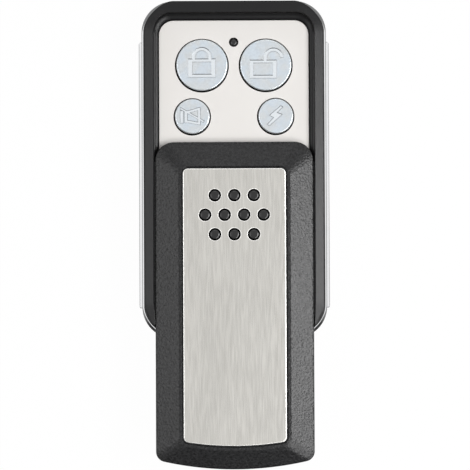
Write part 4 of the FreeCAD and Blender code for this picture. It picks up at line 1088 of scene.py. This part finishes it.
def perforation_tree():
    """Cuts the grip holes out of a plate."""
    tree = group_tree("grip_holes", "Pitch", "Middle", "Material", "Drill")
    start = tree_node(tree, "NodeGroupInput").outputs
    drill = tree_node(tree, "GeometryNodeObjectInfo", None, {"Object": start["Drill"]})
    drills = set_on_points(tree, grip_rows(tree, start), drill.outputs["Geometry"])
    real = tree_node(tree, "GeometryNodeRealizeInstances", None, {0: drills})
    settings = {"operation": "DIFFERENCE", "solver": "EXACT"}
    inputs = {0: start["Geometry"], 1: real.outputs[0]}
    cut = tree_node(tree, "GeometryNodeMeshBoolean", settings, inputs)
    finish_tree(tree, cut.outputs[0], start["Material"])
    return tree


def hole_drill():
    """The shape of one grip hole, with its bevelled mouth, down through the plate."""
    radius = GRIP_HOLE / 2
    wider, fall = HOLE_BEVEL
    beyond = 1.0
    low, top = PLATE_LOW.z - beyond, PLATE_HIGH.z
    profile = [(radius, low), (radius, top - fall), (radius + wider, top), (radius + wider, top + beyond)]
    return as_object("drill", turned_shape(profile, steps=48))


def peg_tree():
    """Sets a copy of the given peg at each place of the grip pattern."""
    tree = group_tree("grip_pegs", "Pitch", "Middle", "Material")
    start = tree_node(tree, "NodeGroupInput").outputs
    pegs = set_on_points(tree, grip_rows(tree, start), start["Geometry"])
    finish_tree(tree, pegs, start["Material"])
    return tree


def peg_blank():
    """One peg: a disc that closes the hole's foot, the stem, a rounded shoulder and a slight dish; the
    disc is a black sheet at the gap's floor that carries the peg's painted shade.
    """
    # The disc lies wholly in the peg finish's painted shade, so it shows as pure black down in the gap.
    disc = GRIP_HOLE / 2 + 0.02
    disc_low, disc_top = PLATE_LOW.z - 0.1, PLATE_LOW.z + 0.08
    radius = GRIP_HOLE / 2 - PEG_GAP
    top = PLATE_HIGH.z + PEG_RISE
    crest = 0.6
    shoulder = 0.55
    profile = [(disc, disc_low), (disc, disc_top), (radius, disc_top)]
    for share in (0.98, 0.9, 0.75, 0.55, 0.35, 0.15):
        reach = share * (radius - crest)
        profile.append((crest + reach, top - shoulder + math.sqrt(shoulder ** 2 - reach ** 2)))
    for share, fall in ((1.0, 0.0), (0.92, 0.1), (0.84, 0.5), (0.76, 0.9), (0.66, 1.0), (0.2, 1.0)):
        profile.append((crest * share, top - PEG_DISH * fall))
    return as_object("grip_pegs", turned_shape(profile, steps=32))


def plate_blank():
    """The cover's plate before its holes: crowned edge above, square edge below."""
    steps = 5
    levels = [(PLATE_TRIM, PLATE_LOW.z), (PLATE_TRIM, PLATE_HIGH.z - PLATE_EDGE_DROP)]
    for step in range(1, steps + 1):
        angle = math.radians(90 / steps * step)
        inset = PLATE_TRIM + PLATE_EDGE * (1 - math.cos(angle))
        levels.append((inset, PLATE_HIGH.z - PLATE_EDGE_DROP * (1 - math.sin(angle))))
    return lofted([at_height(plate_outline(inset), height) for inset, height in levels])


def make_cover_plate():
    """The brushed plate with its grip holes, and the pegs that come up through them."""
    pattern = {"Pitch": GRIP_PITCH, "Middle": PLATE_HIGH.y - GRIP_DROP}
    drill = hole_drill()
    brushed = {"Drill": drill, "Material": FINISHES["plate_brushed"]}
    plate = apply_tree(as_object("brushed_plate", plate_blank()), perforation_tree(), pattern | brushed)
    bpy.data.objects.remove(drill)
    finish_piece(plate, FINISHES["plate_brushed"], "cover", ["cover_plate"])
    pegs = apply_tree(peg_blank(), peg_tree(), pattern | {"Material": FINISHES["peg_black"]})
    finish_piece(pegs, FINISHES["peg_black"], "cover", ())


# Nodes of the frame

def finish_nodes():
    """The inner pieces keep their solids' shapes and get their finishes by their slots in the record."""
    for entry in frame["record"]["subparts"]:
        mesh = nodes[entry["node"]].data
        mesh.materials.clear()
        mesh.materials.append(FINISHES[entry["material_slot"]])


# Floor, light and camera

def background_share(start, *outputs):
    """1 for the rays of the named kinds, which see the plain background, and 0 for all others."""
    share = start.node("ShaderNodeLightPath", output=outputs[0])
    for output in outputs[1:]:
        share = share.maths("MAXIMUM", share, start.node("ShaderNodeLightPath", output=output))
    return share


def make_floor():
    """A pale floor that takes the shadow, plain to the camera and dimmer in reflections."""
    finish = Finish("pale_floor")
    pale = finish.noise(30.0).mix(srgb(244, 244, 244), srgb(247, 247, 247))
    diffuse = finish.start.node("ShaderNodeBsdfDiffuse", None, {"Color": pale})
    glow = finish.start.node("ShaderNodeEmission", None, {"Color": (1, 1, 1, 1), "Strength": 1.0})
    seen = background_share(finish.start, "Is Camera Ray", "Is Transmission Ray")
    mirrored = background_share(finish.start, "Is Glossy Ray")
    seen_glow, mirrored_glow = 0.98, 0.3
    plain = seen * seen_glow + mirrored * mirrored_glow
    mixed = finish.start.node("ShaderNodeMixShader", None, {0: plain, 1: diffuse, 2: glow})
    finish.start.node("ShaderNodeOutputMaterial", None, {"Surface": mixed})
    half, corner = 600, 40
    underside, top = -4.0, -0.02
    outline = rounded_rectangle(half, -half, half, corner)
    floor = as_object("floor", lofted([at_height(outline, underside), at_height(outline, top)]))
    floor.data.transform(Matrix.Scale(MM, 4))
    floor.data.materials.append(finish.material)


def make_world():
    """White behind the object and above it in reflections, weaker as a light, dim in front and low."""
    world = bpy.data.worlds.new("studio")
    bpy.context.scene.world = world
    world.use_nodes = True
    tree = world.node_tree
    tree.nodes.clear()
    start = Field(tree)
    direction = start.node("ShaderNodeTexCoord", output="Generated")
    along = start.node("ShaderNodeSeparateXYZ", None, {0: direction}, output="Y")
    height = start.node("ShaderNodeSeparateXYZ", None, {0: direction}, output="Z")
    front = along.between(-0.65, -0.3, 1.0, 0.0) * height.between(0.58, 0.8, 1.0, 0.0)
    horizon = height.between(0.25, 0.47, 1.0, 0.0)
    seen = background_share(start, "Is Camera Ray", "Is Transmission Ray")
    glossy = background_share(start, "Is Glossy Ray")
    front_dimming, horizon_dimming, as_light = 0.84, 0.75, 0.3
    lit = (1 - front_dimming * front) * (1 - horizon_dimming * horizon * glossy)
    strength = seen + (1 - seen) * (as_light + (1 - as_light) * glossy) * lit
    background = start.node("ShaderNodeBackground", None, {"Color": (1, 1, 1, 1), "Strength": strength})
    start.node("ShaderNodeOutputWorld", None, {"Surface": background})


def softbox(name, lean, heading, width, height, brightness):
    """A soft lamp that leans from upright towards a heading, both in degrees."""
    distance = 450.0
    lamp = bpy.data.lights.new(name, "AREA")
    lamp.shape = "RECTANGLE"
    lamp.size = width * MM
    lamp.size_y = height * MM
    lamp.energy = brightness * math.pi * width * height * MM * MM
    made = add_object(name, lamp)
    turn = Matrix.Rotation(math.radians(heading), 3, "Z") @ Matrix.Rotation(math.radians(lean), 3, "Y")
    middle = Vector((0, (CASE_TOP + COVER_BOTTOM) / 2, RIM_TOP))
    made.location = (middle + turn @ Vector((0, 0, distance))) * MM
    made.rotation_euler = turn.to_euler()


def make_lights():
    """A strong lamp on the right and at the lower right corner, weak ones on the left and above."""
    softbox("right_softbox", 35, -3, 140, 180, 14.4)
    softbox("left_softbox", 33, 180, 150, 240, 3.1)
    softbox("top_softbox", 35, 90, 150, 180, 1.3)
    softbox("corner_softbox", 36, -50, 120, 150, 9.5)


def make_camera():
    """A distant camera almost straight above, turned and tilted as the photograph's was."""
    distance = 450.0
    seen_width = 90.68
    sensor = 36.0
    centre = Vector((0.1, -12.93, RIM_TOP))
    roll = math.radians(0.25)
    tilt = math.radians(1.5)
    camera = bpy.data.cameras.new("camera")
    camera.sensor_width = sensor
    camera.lens = sensor * distance / seen_width
    camera.clip_start = 0.01
    made = add_object("camera", camera)
    turn = Matrix.Rotation(tilt, 3, "X") @ Matrix.Rotation(-roll, 3, "Z")
    made.location = (centre + turn @ Vector((0, 0, distance))) * MM
    made.rotation_euler = turn.to_euler()
    bpy.context.scene.camera = made


make_camera()
make_shells()
make_band()
make_key_plate()
for button in BUTTON_NAMES:
    make_button(button)
make_light_guide()
make_screws()
make_slide_cover()
make_cover_plate()
finish_nodes()
make_floor()
make_world()
make_lights()
bpy.context.scene.view_settings.view_transform = "Standard"
